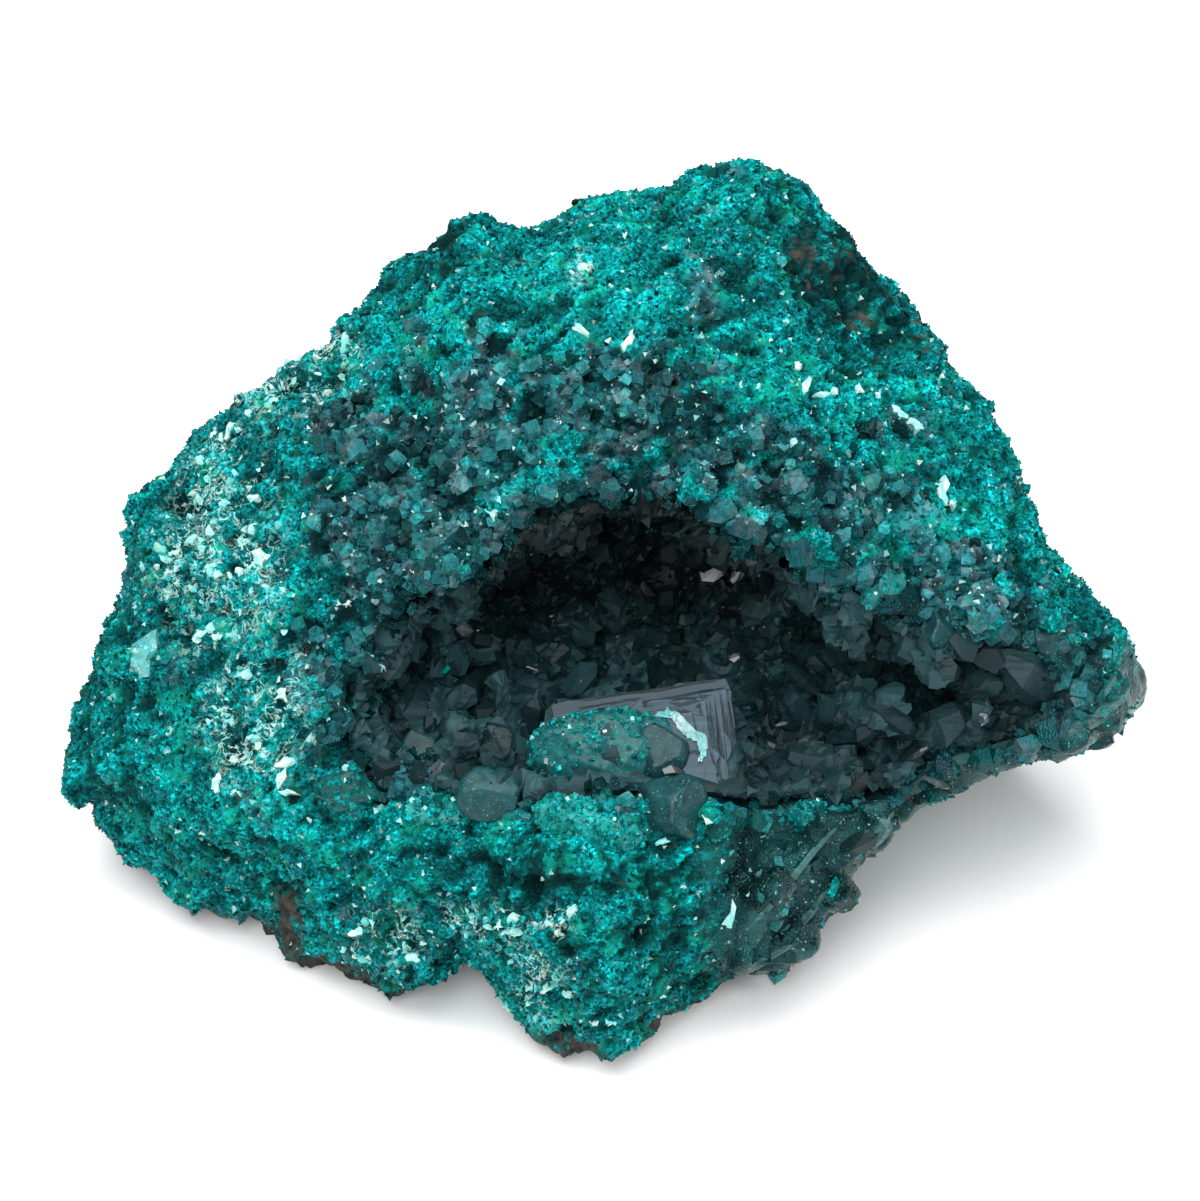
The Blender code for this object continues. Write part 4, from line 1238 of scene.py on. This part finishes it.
def make_hollow():
    """The hollow's lining and the crystals that stand on it."""
    material = glass_material("dioptase crystal, grown faces", "#0b1f22", "#2b4b4f", 0.45, 0.08)
    lining = make_lining(material)
    rng = np.random.default_rng(23)
    rock_tree = tree_of(frame["nodes"]["matrix"])
    everywhere = Surface(lining.data).scatter(30.0, rng)
    groups = []
    for kind, spacing, low, high, share in HOLLOW_LAYERS:
        picks = spread_out(everywhere[0], spacing, rng)
        points, normals = everywhere[0][picks], everywhere[1][picks]
        lump = in_lump(points)
        large = high > 0.4
        near = (distances(rock_tree, points) < 2.2) | (lump[:, 1] > 21.5)
        keep = near & (rng.random(len(points)) < share) & ~kept_clear(points, large)
        keep &= ~((lump[:, 2] > -3.5) & (lump[:, 1] > 24.0) & large)
        points, normals, lump = points[keep], normals[keep], lump[keep]
        count = len(points)
        axes = unit(normals + rng.normal(0, 0.55, (count, 3)))
        radii = rng.uniform(low, high, count)
        # Painted shade where the light doesn't reach into the hollow, with some random tone.
        dark = np.clip(shade_of(lump) + rng.normal(0.05, 0.12, count), 0, 0.95)
        tints = shares_of(count, 0.0, dark, 0.0, rng.random(count) ** 1.5)
        if kind == "tips":
            spins = rng.uniform(0, math.tau, count)
            corners, faces = tips(points, axes, radii, spins, rng.uniform(0.5, 1.4, count))
            groups.append((corners, faces, tints))
        else:
            lengths = radii * rng.uniform(1.5, 3.0, count)
            squash = rng.uniform(0.65, 1.0, count)
            groups.append(column_group(rng, points, axes, radii, lengths, tints, 1.0, squash, 0.12))
    joined_mesh("hollow_crystals", groups, material)


def front_trees(*names):
    """Search trees of the skin, the lining and more objects, for lines of sight to meet."""
    return [tree_of_mesh(bpy.data.meshes["skin"])] + [
        tree_of(bpy.data.objects[name]) for name in ("hollow_lining",) + names
    ]


def icosphere(times):
    """Corners and faces of a ball of even triangles, 1 in radius."""
    bm = bmesh.new()
    bmesh.ops.create_icosphere(bm, subdivisions=times, radius=1.0)
    corners = np.array([tuple(v.co) for v in bm.verts])
    faces = np.array([[v.index for v in face.verts] for face in bm.faces])
    bm.free()
    return corners, faces


def grown_over(layers, rng, points, normals, tints_of, scale):
    """Small crystals that grow on a larger one's points, in layers of one kind and spacing each."""
    groups = []
    for kind, spacing in layers:
        picks = spread_out(points, spacing, rng)
        groups.append(coat_group(kind, rng, points[picks], normals[picks], tints_of(picks), scale))
    return groups


def rounded_shape(rng, ball, point, row):
    """Corners of one rounded crystal: a ball cut by flats and set in its place, rougher if turquoise."""
    _, _, half_width, half_height, _, turquoise, _ = row
    shape = ball.copy()
    flats = unit(rng.normal(0, 1, (10, 3)) + (0.0, 0.0, 0.3))
    for flat, reach in zip(flats, rng.uniform(0.55, 0.85, len(flats))):
        over = np.maximum(shape @ flat - reach, 0)
        shape = shape - over[:, None] * flat
    half = np.array((half_width, half_height, 0.8 * min(half_width, half_height))) * 1.15
    corners = point - 0.2 * half[2] * OUT + (shape * half) @ LUMP_AXES
    rough = 0.06 + 0.22 * turquoise
    return corners + rough * unit(shape @ LUMP_AXES) * cloudy(corners, 0.8, 60, 3)[:, None]


def make_rounded():
    """Large crystals grown together with rounded edges, on the lip and round the mouth of the hollow, and
    small crystals on those that are turquoise."""
    rng = np.random.default_rng(59)
    ball, faces = icosphere(4)
    rows = np.array(ROUNDED)
    groups = []
    for point, row in zip(listed_places(front_trees(), rows)[0], rows):
        groups.append((rounded_shape(rng, ball, point, row)[None], faces, shares_of(1, 1.0, *row[4:])))
    obj = joined_mesh("rounded_crystals", groups, bpy.data.materials["dioptase crystal, rounded"])
    obj.data.shade_smooth()
    points, normals, under, _ = Surface(obj.data).scatter(40.0, rng)
    keep = (rng.random(len(points)) < 1.2 * under[:, 2] - 0.2) & (normals @ OUT > -0.3)
    points, normals, under = points[keep], normals[keep], under[keep]

    def tints_of(picks):
        """The shares of the picked crystals."""
        count = len(picks)
        bright = np.clip(under[picks, 3] * 0.8 + 0.4 * cloudy(points[picks], 0.9, 61, 2), 0.1, 1)
        return shares_of(
            count,
            0.3 * rng.random(count),
            np.clip(rng.random(count) * 2.0 - 1.3, 0, 0.7),
            # A few crystals are made pale as painted glints.
            (rng.random(count) < 0.05) * 0.93,
            np.clip(bright + rng.normal(0, 0.25, count), 0, 1),
        )

    groups = grown_over((("tips", 0.24), ("rhombs", 0.5)), rng, points, normals, tints_of, 0.75)
    joined_mesh("lip_crystals", groups, druse())


def make_dome():
    """The rounded mass in the hollow: one glassy body with small crystals grown over part of it."""
    rng = np.random.default_rng(31)
    ball, faces = icosphere(5)
    body = in_row(ball * (DOME_RADII * 1.06) + DOME_PLACE)
    outward = (ball / DOME_RADII) @ LUMP_AXES
    rough = 0.30 * cloudy(body, 1.3, 42, 3) + 0.22 * knobs(body, 1.1, 43)
    body = body + unit(outward) * rough[:, None]
    group = (body[None], faces, shares_of(1, 1.0, 0.0, 0.18, 0.5))
    obj = joined_mesh("dome_body", [group], glassy_druse_material())
    obj.data.shade_smooth()
    points, normals = Surface(obj.data).scatter(60.0, rng)[:2]
    lump = in_lump(points)
    patch = cloudy(points, 1.1, 41, 2)
    upper_left = np.clip((lump[:, 1] - 16.0) / 1.6 - (lump[:, 0] - 0.5) / 4.0, 0, 1)
    grown = 0.8 * patch + 0.6 * upper_left > rng.uniform(0.4, 1.2, len(points))
    grown |= rng.random(len(points)) < 0.02
    keep = grown & (normals @ OUT > -0.3)
    points, normals, patch = points[keep], normals[keep], patch[keep]

    def tints_of(picks):
        """The shares of the picked crystals."""
        count = len(picks)
        return shares_of(
            count,
            rng.random(count) * 0.5,
            np.clip(0.15 + rng.normal(0, 0.2, count), 0, 0.6),
            # A few crystals are made pale as painted glints.
            (rng.random(count) < 0.07) * 0.93,
            np.clip(0.45 + 0.4 * patch[picks] + rng.normal(0, 0.3, count), 0, 1),
        )

    groups = grown_over((("tips", 0.2), ("rhombs", 0.6)), rng, points, normals, tints_of, 0.7)
    joined_mesh("dome_crystals", groups, druse())


# Corners along each side of a slab's layers.
PLATE_STEPS = 10


def plate(along, down, out, start, sizes, rng):
    """A thin closed slab with slightly ragged edges; start is its top corner."""
    length, drop, rise = sizes
    shares = np.arange(PLATE_STEPS) / PLATE_STEPS
    none, all_over = np.zeros(PLATE_STEPS), np.ones(PLATE_STEPS)
    aside = np.concatenate([shares, all_over, 1 - shares, none])
    below = np.concatenate([none, shares, all_over, 1 - shares])
    ring = np.stack([length * aside, drop * below], axis=1) + rng.normal(0, 0.11, (4 * PLATE_STEPS, 2))
    flat = start + ring[:, :1] * along + ring[:, 1:] * down
    low = flat - 0.3 * out
    high = flat + rise * out
    return np.concatenate([low, high])[None]


def plate_faces(count):
    """Faces of a slab whose two rims have this many corners each; every face is a triangle."""
    faces = []
    for k in range(count):
        n = (k + 1) % count
        faces += [(k, n, count + n), (k, count + n, count + k)]
    for k in range(1, count - 1):
        faces += [(count, count + k, count + k + 1), (0, k + 1, k)]
    return np.array(faces)


def stepped_material():
    """A clean face of one large dioptase crystal: glossy, with fine level lines, and blue-grey partly as
    painted sheen of the light from above.
    """
    made, tree, shader = new_material("dioptase crystal, clean stepped face", 0.26)
    bright = tint_shares(tree)[3]
    lines = drawn_noise(tree, 0.4, 0.12, detail=4.0, distortion=0.0)
    # Painted sheen: the brighter layers are a lighter blue-grey.
    body = mix_colour(tree, bright, "#0a171e", "#263a45")
    shade = ramp(tree, lines, ((0.35, 0.6), (0.65, 1.35)))
    tree.links.new(shaded(tree, body, shade), shader.inputs["Base Color"])
    tree.links.new(bump(tree, lines, 0.03, 0.5), shader.inputs["Normal"])
    shader.inputs["Specular IOR Level"].default_value = 0.2
    shader.inputs["Specular Tint"].default_value = (0.75, 0.92, 1.0, 1.0)
    return made


def make_stepped_crystal():
    """The large grey crystal with stepped layers, half of it grown over."""
    rng = np.random.default_rng(37)
    corner, along, down, out = slab_axes()
    groups = []
    faces = plate_faces(4 * PLATE_STEPS)
    if np.cross(along, down) @ out < 0:
        faces = faces[:, ::-1]
    for start_along, start_down, length, drop, rise, light in SLAB_PLATES:
        start = corner + start_along * along + start_down * down
        corners = plate(along, down, out, start, (length, drop, rise), rng)
        groups.append((corners, faces, shares_of(1, bright=light)))
    joined_mesh("stepped_crystal", groups, stepped_material())
    make_sheet(corner, out)


def make_sheet(corner, out):
    """A thin sheet of the palest aqua on the stepped crystal, between its listed edges."""
    rng = np.random.default_rng(61)
    steps = 25
    edges = []
    for listed in (SHEET_OUTER, SHEET_INNER):
        listed = np.array(listed)
        where = np.linspace(0, len(listed) - 1, steps)
        edge = np.stack([np.interp(where, np.arange(len(listed)), listed[:, k]) for k in (0, 1)], axis=1)
        edges.append(edge + rng.normal(0, 0.05, edge.shape))
    rows = []
    for share in (0.0, 0.33, 0.67, 1.0):
        places = (1 - share) * edges[0] + share * edges[1]
        level = in_row(np.concatenate([places, np.zeros((steps, 1))], axis=1))
        onto = (corner - level) @ out / (OUT @ out)
        rows.append(level + onto[:, None] * OUT)
    rows = np.stack(rows)
    bumps = 0.12 * rng.random(rows.shape[:2])
    bumps[[0, -1]] = 0.0
    high = rows + (1.36 + bumps)[:, :, None] * out
    corners = np.concatenate([high.reshape(-1, 3), (rows + 1.0 * out).reshape(-1, 3)])
    faces = []
    half = 4 * steps

    def quad(a, b, c, d):
        """Two triangles."""
        faces.extend([(a, b, c), (a, c, d)])

    for i in range(3):
        for k in range(steps - 1):
            a = i * steps + k
            quad(a, a + 1, a + steps + 1, a + steps)
            quad(half + a, half + a + steps, half + a + steps + 1, half + a + 1)
        a, b = i * steps, (i + 1) * steps
        quad(a, b, half + b, half + a)
        a, b = a + steps - 1, b + steps - 1
        quad(b, a, half + a, half + b)
    for k in range(steps - 1):
        quad(k + 1, k, half + k, half + k + 1)
        a = 3 * steps + k
        quad(a, a + 1, half + a + 1, half + a)
    group = (corners[None], np.array(faces), shares_of(1, 1.0, 0.0, 0.88, 1.0))
    joined_mesh("pale_sheet", [group], druse())


def blade_material(name, deep, light, shine):
    """Crystals broken lengthwise: glassy, with fine grooves along them."""
    made, tree, shader = new_material(name, 0.32)
    bright = tint_shares(tree)[3]
    grooves = fibres(tree, 0.25)
    body = mix_colour(tree, bright, deep, light)
    streaks = ramp(tree, grooves, ((0.3, 0.5), (0.7, 1.5)))
    tree.links.new(shaded(tree, body, streaks), shader.inputs["Base Color"])
    tree.links.new(bump(tree, grooves, 0.05, 0.7), shader.inputs["Normal"])
    shader.inputs["Specular IOR Level"].default_value = shine
    return made


def make_blades():
    """Broken glassy crystals that lie almost flush in the lower right and along the right arm, and the
    larger dark ones in the hollow."""
    rng = np.random.default_rng(43)
    skin = [tree_of_mesh(bpy.data.meshes["skin"])]
    outside = blade_material("dioptase crystal, broken lengthwise", "#071718", "#35605f", 0.15)
    joined_mesh("broken_blades", [blade_group(rng, skin, np.array(BLADES), 0.5)], outside)
    inside = blade_material("dioptase crystal, dark prisms", "#0a1a1d", "#2c4448", 0.06)
    prisms = blade_group(rng, front_trees(), np.array(PRISMS), 0.8)
    joined_mesh("hollow_prisms", [prisms], inside)


def blade_group(rng, trees, rows, thickness):
    """Long six-sided crystals that follow the surface at the rows' places."""
    points, _ = listed_places(trees, rows)
    slope = np.radians(rows[:, 4])[:, None]
    level = np.cos(slope) * ACROSS + np.sin(slope) * RISE
    ends = []
    for share in (-0.5, -0.25, 0.25, 0.5):
        spot = in_lump(points + share * rows[:, 2:3] * level)
        found, _, met = seen_from_front(trees, spot[:, 0], spot[:, 1])
        ends.append(np.where(met[:, None], found, points + share * rows[:, 2:3] * level))
    axes = unit(ends[3] - ends[0])
    normals = np.tile(OUT, (len(rows), 1))
    normals = unit(normals - (normals * axes).sum(axis=1, keepdims=True) * axes)
    sideways = np.cross(axes, normals)
    half_widths = rows[:, 3:4]
    corners = []
    for end, width in zip(ends, (0.45, 1.0, 0.9, 0.3)):
        for k in range(6):
            turn = k * math.pi / 3
            flat = math.cos(turn) * sideways + thickness * math.sin(turn) * normals
            corners.append(end + width * half_widths * flat)
    corners.append(ends[3] + 0.8 * half_widths * axes)
    corners.append(ends[0] - 0.8 * half_widths * axes)
    corners = np.stack(corners, axis=1)
    corners = corners + rng.normal(0, 0.08, corners.shape) * half_widths[:, :, None]
    faces = []
    for ring in (0, 6, 12):
        for k in range(6):
            n = (k + 1) % 6
            faces += [(ring + k, ring + n, ring + 6 + n), (ring + k, ring + 6 + n, ring + 6 + k)]
    for k in range(6):
        n = (k + 1) % 6
        faces += [(18 + k, 18 + n, 24), (n, k, 25)]
    return kept_inside(corners, np.array(faces), shares_of(len(rows), bright=rows[:, 5]))


def oval(facing, turns, half_lengths, half_widths):
    """A function of an angle that gives the way from the middle of each oval to its edge. The ovals face
    their own ways, and the turns turn them from level."""
    right = unit(np.cross(RISE[None], facing))
    above = np.cross(facing, right)
    c, s = np.cos(turns)[:, None], np.sin(turns)[:, None]
    along, aside = c * right + s * above, c * above - s * right

    def edge(angle):
        """The way to each oval's edge."""
        lengthwise = half_lengths[:, None] * math.cos(angle) * along
        return lengthwise + half_widths[:, None] * math.sin(angle) * aside

    return edge


def flake_shapes(points, facing, half_lengths, half_widths, turns, thickness, rng):
    """Thin closed six-sided flakes at the points, each facing its own way."""
    edge = oval(facing, turns, half_lengths, half_widths)
    corners = []
    for side, share in ((-1.0, 1.0), (1.0, 0.85)):
        for k in range(6):
            corners.append(points + edge(k * math.pi / 3 + 0.3) * share + side * thickness * facing)
    corners = np.stack(corners, axis=1)
    size = np.minimum(half_lengths, half_widths)
    corners = corners + rng.normal(0, 0.12, corners.shape) * size[:, None, None]
    return corners, plate_faces(6)


# Corners round each ring of a patch, its rings as (share of its size, lift off the surface), and how
# far its middle is lifted.
PATCH_STEPS = 10
PATCH_RINGS = ((1.0, -0.4), (0.95, 0.14), (0.55, 0.30))
PATCH_TOP = 0.32


def patch_faces():
    """Faces of a patch made of three rings and a middle; the first ring is its underside."""
    faces = []
    for ring in (0, PATCH_STEPS):
        for k in range(PATCH_STEPS):
            a, b = ring + k, ring + (k + 1) % PATCH_STEPS
            faces += [(a, b, b + PATCH_STEPS), (a, b + PATCH_STEPS, a + PATCH_STEPS)]
    for k in range(PATCH_STEPS):
        faces.append((2 * PATCH_STEPS + k, 2 * PATCH_STEPS + (k + 1) % PATCH_STEPS, 3 * PATCH_STEPS))
    for k in range(1, PATCH_STEPS - 1):
        faces.append((0, k + 1, k))
    return np.array(faces)


def draped_patches(trees, middles, facing, half_lengths, half_widths, turns, rng):
    """Closed ragged patches that follow the surface and swell a little in the middle."""
    edge = oval(facing, turns, half_lengths, half_widths)
    ragged = rng.uniform(0.35, 1.25, (PATCH_STEPS, len(middles), 1))
    places, lifts = [], []
    for share, lift in PATCH_RINGS:
        for k in range(PATCH_STEPS):
            places.append(middles + share * ragged[k] * edge(k * math.tau / PATCH_STEPS))
            lifts.append(lift)
    places = np.stack(places + [middles], axis=1)
    lifts = np.array(lifts + [PATCH_TOP]) + rng.normal(0, 0.03, places.shape[:2])
    for patch in places:
        for k, place in enumerate(patch.tolist()):
            found = [tree.find_nearest(Vector(place)) for tree in trees]
            patch[k] = min(found, key=lambda hit: hit[3])[0]
    return places + lifts[:, :, None] * facing[:, None], patch_faces()


def make_flakes():
    """Pale films and turquoise crusts that lie in patches on the coat: the listed ones, small ones in the
    pale zones, and a few on the other sides."""
    rng = np.random.default_rng(47)
    trees = front_trees("stepped_crystal", "rounded_crystals")
    rows = np.array(FLAKES)
    points, normals = listed_places(trees, rows)
    tilted = unit(OUT + rows[:, 5:6] * ACROSS + rows[:, 6:7] * RISE)
    facing = unit(tilted + 0.6 * normals)
    half_sizes = 1.2 * rows[:, 2], 1.2 * rows[:, 3]
    corners, faces = draped_patches(trees, points, facing, *half_sizes, np.radians(rows[:, 4]), rng)
    groups = [(corners, faces, rows[:, 7:11])]
    spots, lying = Surface(bpy.data.meshes["skin"]).scatter(4.0, rng)[:2]
    lump = in_lump(spots)
    behind = behind_share(lump) * np.clip((cloudy(spots, 4.0, 48, 2) - 0.2) * 3, 0, 1)
    chance = 0.19 * zone_weight(lump, PALE_ZONES) + 0.05 * behind
    picks = np.flatnonzero((rng.random(len(spots)) < chance) & (spots[:, 2] > 1.0))
    count = len(picks)
    sizes = 0.11 + 0.28 * rng.random(count) ** 2
    tints = shares_of(count, 0.0, 0.0, rng.uniform(0.87, 0.945, count), 1.0)
    turns = rng.uniform(0, math.tau, count)
    corners, _ = draped_patches(trees[:1], spots[picks], lying[picks], sizes * 1.5, sizes, turns, rng)
    groups.append((corners, faces, tints))
    joined_mesh("flakes", [kept_inside(*group) for group in groups], druse())


def painted_reflection_material():
    """Painted reflections of the light from above on grown faces of dioptase: grey, and a little mottled.
    """
    made, tree, shader = new_material("dioptase crystal, painted reflections", 0.3)
    bright = tint_shares(tree)[3]
    shade = ramp(tree, object_noise(tree, 0.4, 4.0, 0.6), ((0.3, 0.5), (0.7, 1.4)))
    body = mix_colour(tree, bright, "#1c2426", "#75828a")
    tree.links.new(shaded(tree, body, shade), shader.inputs["Base Color"])
    return made


def make_facets():
    """Painted reflections: grey flakes on faces in the hollow where the light from above is mirrored, and
    tiny painted glints between them.
    """
    rng = np.random.default_rng(53)
    rows = np.array(PAINTED_REFLECTION_FACETS)
    points, _ = listed_places(front_trees("hollow_crystals"), rows)
    facing = unit(OUT + 0.25 * rng.normal(0, 1, (len(rows), 3)))
    turns = np.radians(rows[:, 4])
    corners, faces = flake_shapes(points + 0.05 * facing, facing, rows[:, 2], rows[:, 3], turns, 0.25, rng)
    groups = [(corners, faces, shares_of(len(rows), bright=0.6 * rows[:, 5]))]
    # Tiny painted glints: light flakes on the faces of the hollow's crystals that look out.
    spots, lying = Surface(bpy.data.objects["hollow_crystals"].data).scatter(0.14, rng)[:2]
    lump = in_lump(spots)
    shown = (lump[:, 2] < -2.0) & (lying @ OUT > 0.1)
    spots, lying = spots[shown], lying[shown]
    count = len(spots)
    facing = unit(lying + rng.normal(0, 0.3, (count, 3)))
    sizes = 0.04 + 0.11 * rng.random(count) ** 2
    turns = rng.uniform(0, math.tau, count)
    corners, _ = flake_shapes(spots + 0.02 * facing, facing, sizes * 1.6, sizes, turns, 0.05, rng)
    groups.append((corners, faces, shares_of(count, bright=rng.uniform(0.7, 1.6, count))))
    joined_mesh("hollow_painted_reflections", groups, painted_reflection_material())


# Soft white lights: name, place and size in metres, and power in watts.
LIGHTS = (
    ("overhead_softbox", (-0.03, -0.03, 0.36), (0.42, 0.42), 2.6),
    ("front_fill", (-0.08, -0.42, 0.32), (0.40, 0.28), 2.15),
    ("right_fill", (0.36, -0.16, 0.22), (0.20, 0.16), 0.6),
)
LIGHT_AIM = Vector((0.0, 0.0, 0.02))
WORLD_STRENGTH = 0.16
FLOOR_REACH = 2.0
# The photo's width, and how far its middle is right of and above the front foot's tip, in its pixels.
PHOTO_WIDTH, MIDDLE_RIGHT, MIDDLE_ABOVE = 1201, 1.5, 457.5
SENSOR_WIDTH = 36.0


def add_area_light(name, spot, size, power):
    """A rectangular light that faces the lump."""
    light = bpy.data.lights.new(name, "AREA")
    light.shape = "RECTANGLE"
    light.size, light.size_y = size
    light.energy = power
    obj = bpy.data.objects.new(name, light)
    bpy.context.scene.collection.objects.link(obj)
    obj.location = spot
    obj.rotation_mode = "QUATERNION"
    obj.rotation_quaternion = (LIGHT_AIM - Vector(spot)).to_track_quat("-Z", "Y")


def add_floor(colour):
    """A plain sheet of uncoated paper: pale, even and without shine."""
    mesh = bpy.data.meshes.new("floor")
    corners = [(x * FLOOR_REACH, y * FLOOR_REACH, 0) for x, y in ((-1, -1), (1, -1), (1, 1), (-1, 1))]
    mesh.from_pydata(corners, [], [(0, 1, 2, 3)])
    floor = bpy.data.objects.new("floor", mesh)
    bpy.context.scene.collection.objects.link(floor)
    made, _, shader = new_material("matt white paper", 0.9, 1.45)
    shader.inputs["Base Color"].default_value = tuple(colour) + (1,)
    mesh.materials.append(made)


def add_studio():
    """Soft lights, with a little light from all round."""
    world = bpy.data.worlds.new("studio")
    world.use_nodes = True
    background = world.node_tree.nodes["Background"]
    background.inputs["Color"].default_value = (1, 1, 1, 1)
    background.inputs["Strength"].default_value = WORLD_STRENGTH
    bpy.context.scene.world = world
    for light in LIGHTS:
        add_area_light(*light)


def add_camera(settings):
    """A camera that sees the lump as the photo does."""
    across, rise, out = (Vector(axis) for axis in LUMP_AXES)
    # The photo's frame is 65.1 mm wide where it crosses the lump, 3 mm behind the front foot.
    distance = PHOTO_WIDTH * settings.pixel * settings.lens / SENSOR_WIDTH
    foot = Vector(FRONT_FOOT) * MM
    aim = foot + (across * MIDDLE_RIGHT + rise * MIDDLE_ABOVE) * settings.pixel - out * 3.0 * MM
    camera = bpy.data.cameras.new("photo_view")
    camera.lens = settings.lens
    camera.sensor_width = SENSOR_WIDTH
    camera.clip_start = 0.01
    camera.clip_end = 10.0
    obj = bpy.data.objects.new("photo_view", camera)
    bpy.context.scene.collection.objects.link(obj)
    obj.location = aim + out * distance
    obj.rotation_mode = "QUATERNION"
    obj.rotation_quaternion = (-out).to_track_quat("-Z", "Y")
    bpy.context.scene.camera = obj


def make_stage():
    """What the lump lies on, is lit by and is seen from."""
    settings = scene_settings().stage
    add_floor(settings.floor)
    add_studio()
    add_camera(settings)
    bpy.context.scene.view_settings.view_transform = "Standard"


# Settings, operators and panel


class CoatSettings(bpy.types.PropertyGroup):
    spacing: FloatProperty(
        name="Crystal spacing",
        description="Distance between small crystals",
        default=0.31 * MM,
        unit="LENGTH",
        precision=6,
    )
    bright: FloatVectorProperty(
        name="Bright turquoise",
        description="Colour of the lightest small crystals",
        default=linear("#089f9f")[:3],
        subtype="COLOR",
    )
    deep: FloatVectorProperty(
        name="Deep turquoise",
        description="Colour of the darkest small crystals",
        default=linear("#025a5e")[:3],
        subtype="COLOR",
    )
    seed: IntProperty(name="Seed", description="Which of the many like coats is grown", default=3)


class StageSettings(bpy.types.PropertyGroup):
    floor: FloatVectorProperty(
        name="Floor",
        description="Colour of the paper it lies on",
        default=linear("#f2f2f2")[:3],
        subtype="COLOR",
    )
    lens: FloatProperty(name="Lens", description="Focal length of the camera", default=120.0, unit="CAMERA")
    pixel: FloatProperty(
        name="Pixel",
        description="Size of one picture point at the lump",
        default=0.0542 * MM,
        unit="LENGTH",
        precision=7,
    )


class SpecimenSettings(bpy.types.PropertyGroup):
    coat: PointerProperty(type=CoatSettings)
    stage: PointerProperty(type=StageSettings)


class DIOPTASE_OT_coat(bpy.types.Operator):
    """Grow the coat of small crystals on the rock"""

    bl_idname = "dioptase.coat"
    bl_label = "Coat of small crystals"

    def execute(self, context):
        make_coat()
        return {"FINISHED"}


class DIOPTASE_OT_hollow(bpy.types.Operator):
    """Line the hollow with crystals"""

    bl_idname = "dioptase.hollow"
    bl_label = "Hollow"

    def execute(self, context):
        make_hollow()
        return {"FINISHED"}


class DIOPTASE_OT_rim(bpy.types.Operator):
    """Hang larger crystals round the mouth of the hollow"""

    bl_idname = "dioptase.rim"
    bl_label = "Rim of the hollow"

    def execute(self, context):
        make_rim()
        return {"FINISHED"}


class DIOPTASE_OT_dome(bpy.types.Operator):
    """Cover the rounded mass in the hollow with small crystals"""

    bl_idname = "dioptase.dome"
    bl_label = "Rounded mass in the hollow"

    def execute(self, context):
        make_dome()
        return {"FINISHED"}


class DIOPTASE_OT_rounded(bpy.types.Operator):
    """Set the large rounded crystals on the lip and round the mouth of the hollow"""

    bl_idname = "dioptase.rounded"
    bl_label = "Rounded crystals"

    def execute(self, context):
        make_rounded()
        return {"FINISHED"}


class DIOPTASE_OT_stepped_crystal(bpy.types.Operator):
    """Build the layers of the large grey crystal in the hollow"""

    bl_idname = "dioptase.stepped_crystal"
    bl_label = "Stepped crystal"

    def execute(self, context):
        make_stepped_crystal()
        return {"FINISHED"}


class DIOPTASE_OT_blades(bpy.types.Operator):
    """Lay the broken glassy crystals on the lower right and the right arm"""

    bl_idname = "dioptase.blades"
    bl_label = "Broken blades"

    def execute(self, context):
        make_blades()
        return {"FINISHED"}


class DIOPTASE_OT_flakes(bpy.types.Operator):
    """Set the single pale and turquoise flakes on the coat"""

    bl_idname = "dioptase.flakes"
    bl_label = "Flakes"

    def execute(self, context):
        make_flakes()
        return {"FINISHED"}


class DIOPTASE_OT_facets(bpy.types.Operator):
    """Set the painted reflections and painted glints on faces in the hollow"""

    bl_idname = "dioptase.facets"
    bl_label = "Facets and glints"

    def execute(self, context):
        make_facets()
        return {"FINISHED"}


class DIOPTASE_OT_stage(bpy.types.Operator):
    """Set up the floor, the lights and the camera"""

    bl_idname = "dioptase.stage"
    bl_label = "Floor, lights and camera"

    def execute(self, context):
        make_stage()
        return {"FINISHED"}


STEPS = (
    DIOPTASE_OT_coat,
    DIOPTASE_OT_hollow,
    DIOPTASE_OT_rim,
    DIOPTASE_OT_dome,
    DIOPTASE_OT_rounded,
    DIOPTASE_OT_stepped_crystal,
    DIOPTASE_OT_blades,
    DIOPTASE_OT_flakes,
    DIOPTASE_OT_facets,
    DIOPTASE_OT_stage,
)


class DIOPTASE_PT_specimen(bpy.types.Panel):
    bl_label = "Dioptase specimen"
    bl_idname = "DIOPTASE_PT_specimen"
    bl_space_type = "VIEW_3D"
    bl_region_type = "UI"
    bl_category = "Dioptase"

    def draw(self, context):
        settings = context.scene.dioptase
        for group in (settings.coat, settings.stage):
            for name in group.__annotations__:
                self.layout.prop(group, name)
        for step in STEPS:
            self.layout.operator(step.bl_idname)


CLASSES = (CoatSettings, StageSettings, SpecimenSettings) + STEPS + (DIOPTASE_PT_specimen,)


def register():
    for cls in CLASSES:
        bpy.utils.register_class(cls)
    bpy.types.Scene.dioptase = PointerProperty(type=SpecimenSettings)


def unregister():
    del bpy.types.Scene.dioptase
    for cls in reversed(CLASSES):
        bpy.utils.unregister_class(cls)


def main():
    """Makes every piece in order."""
    register()
    for step in STEPS:
        group, name = step.bl_idname.split(".")
        getattr(getattr(bpy.ops, group), name)()


if __name__ == "__main__":
    main()
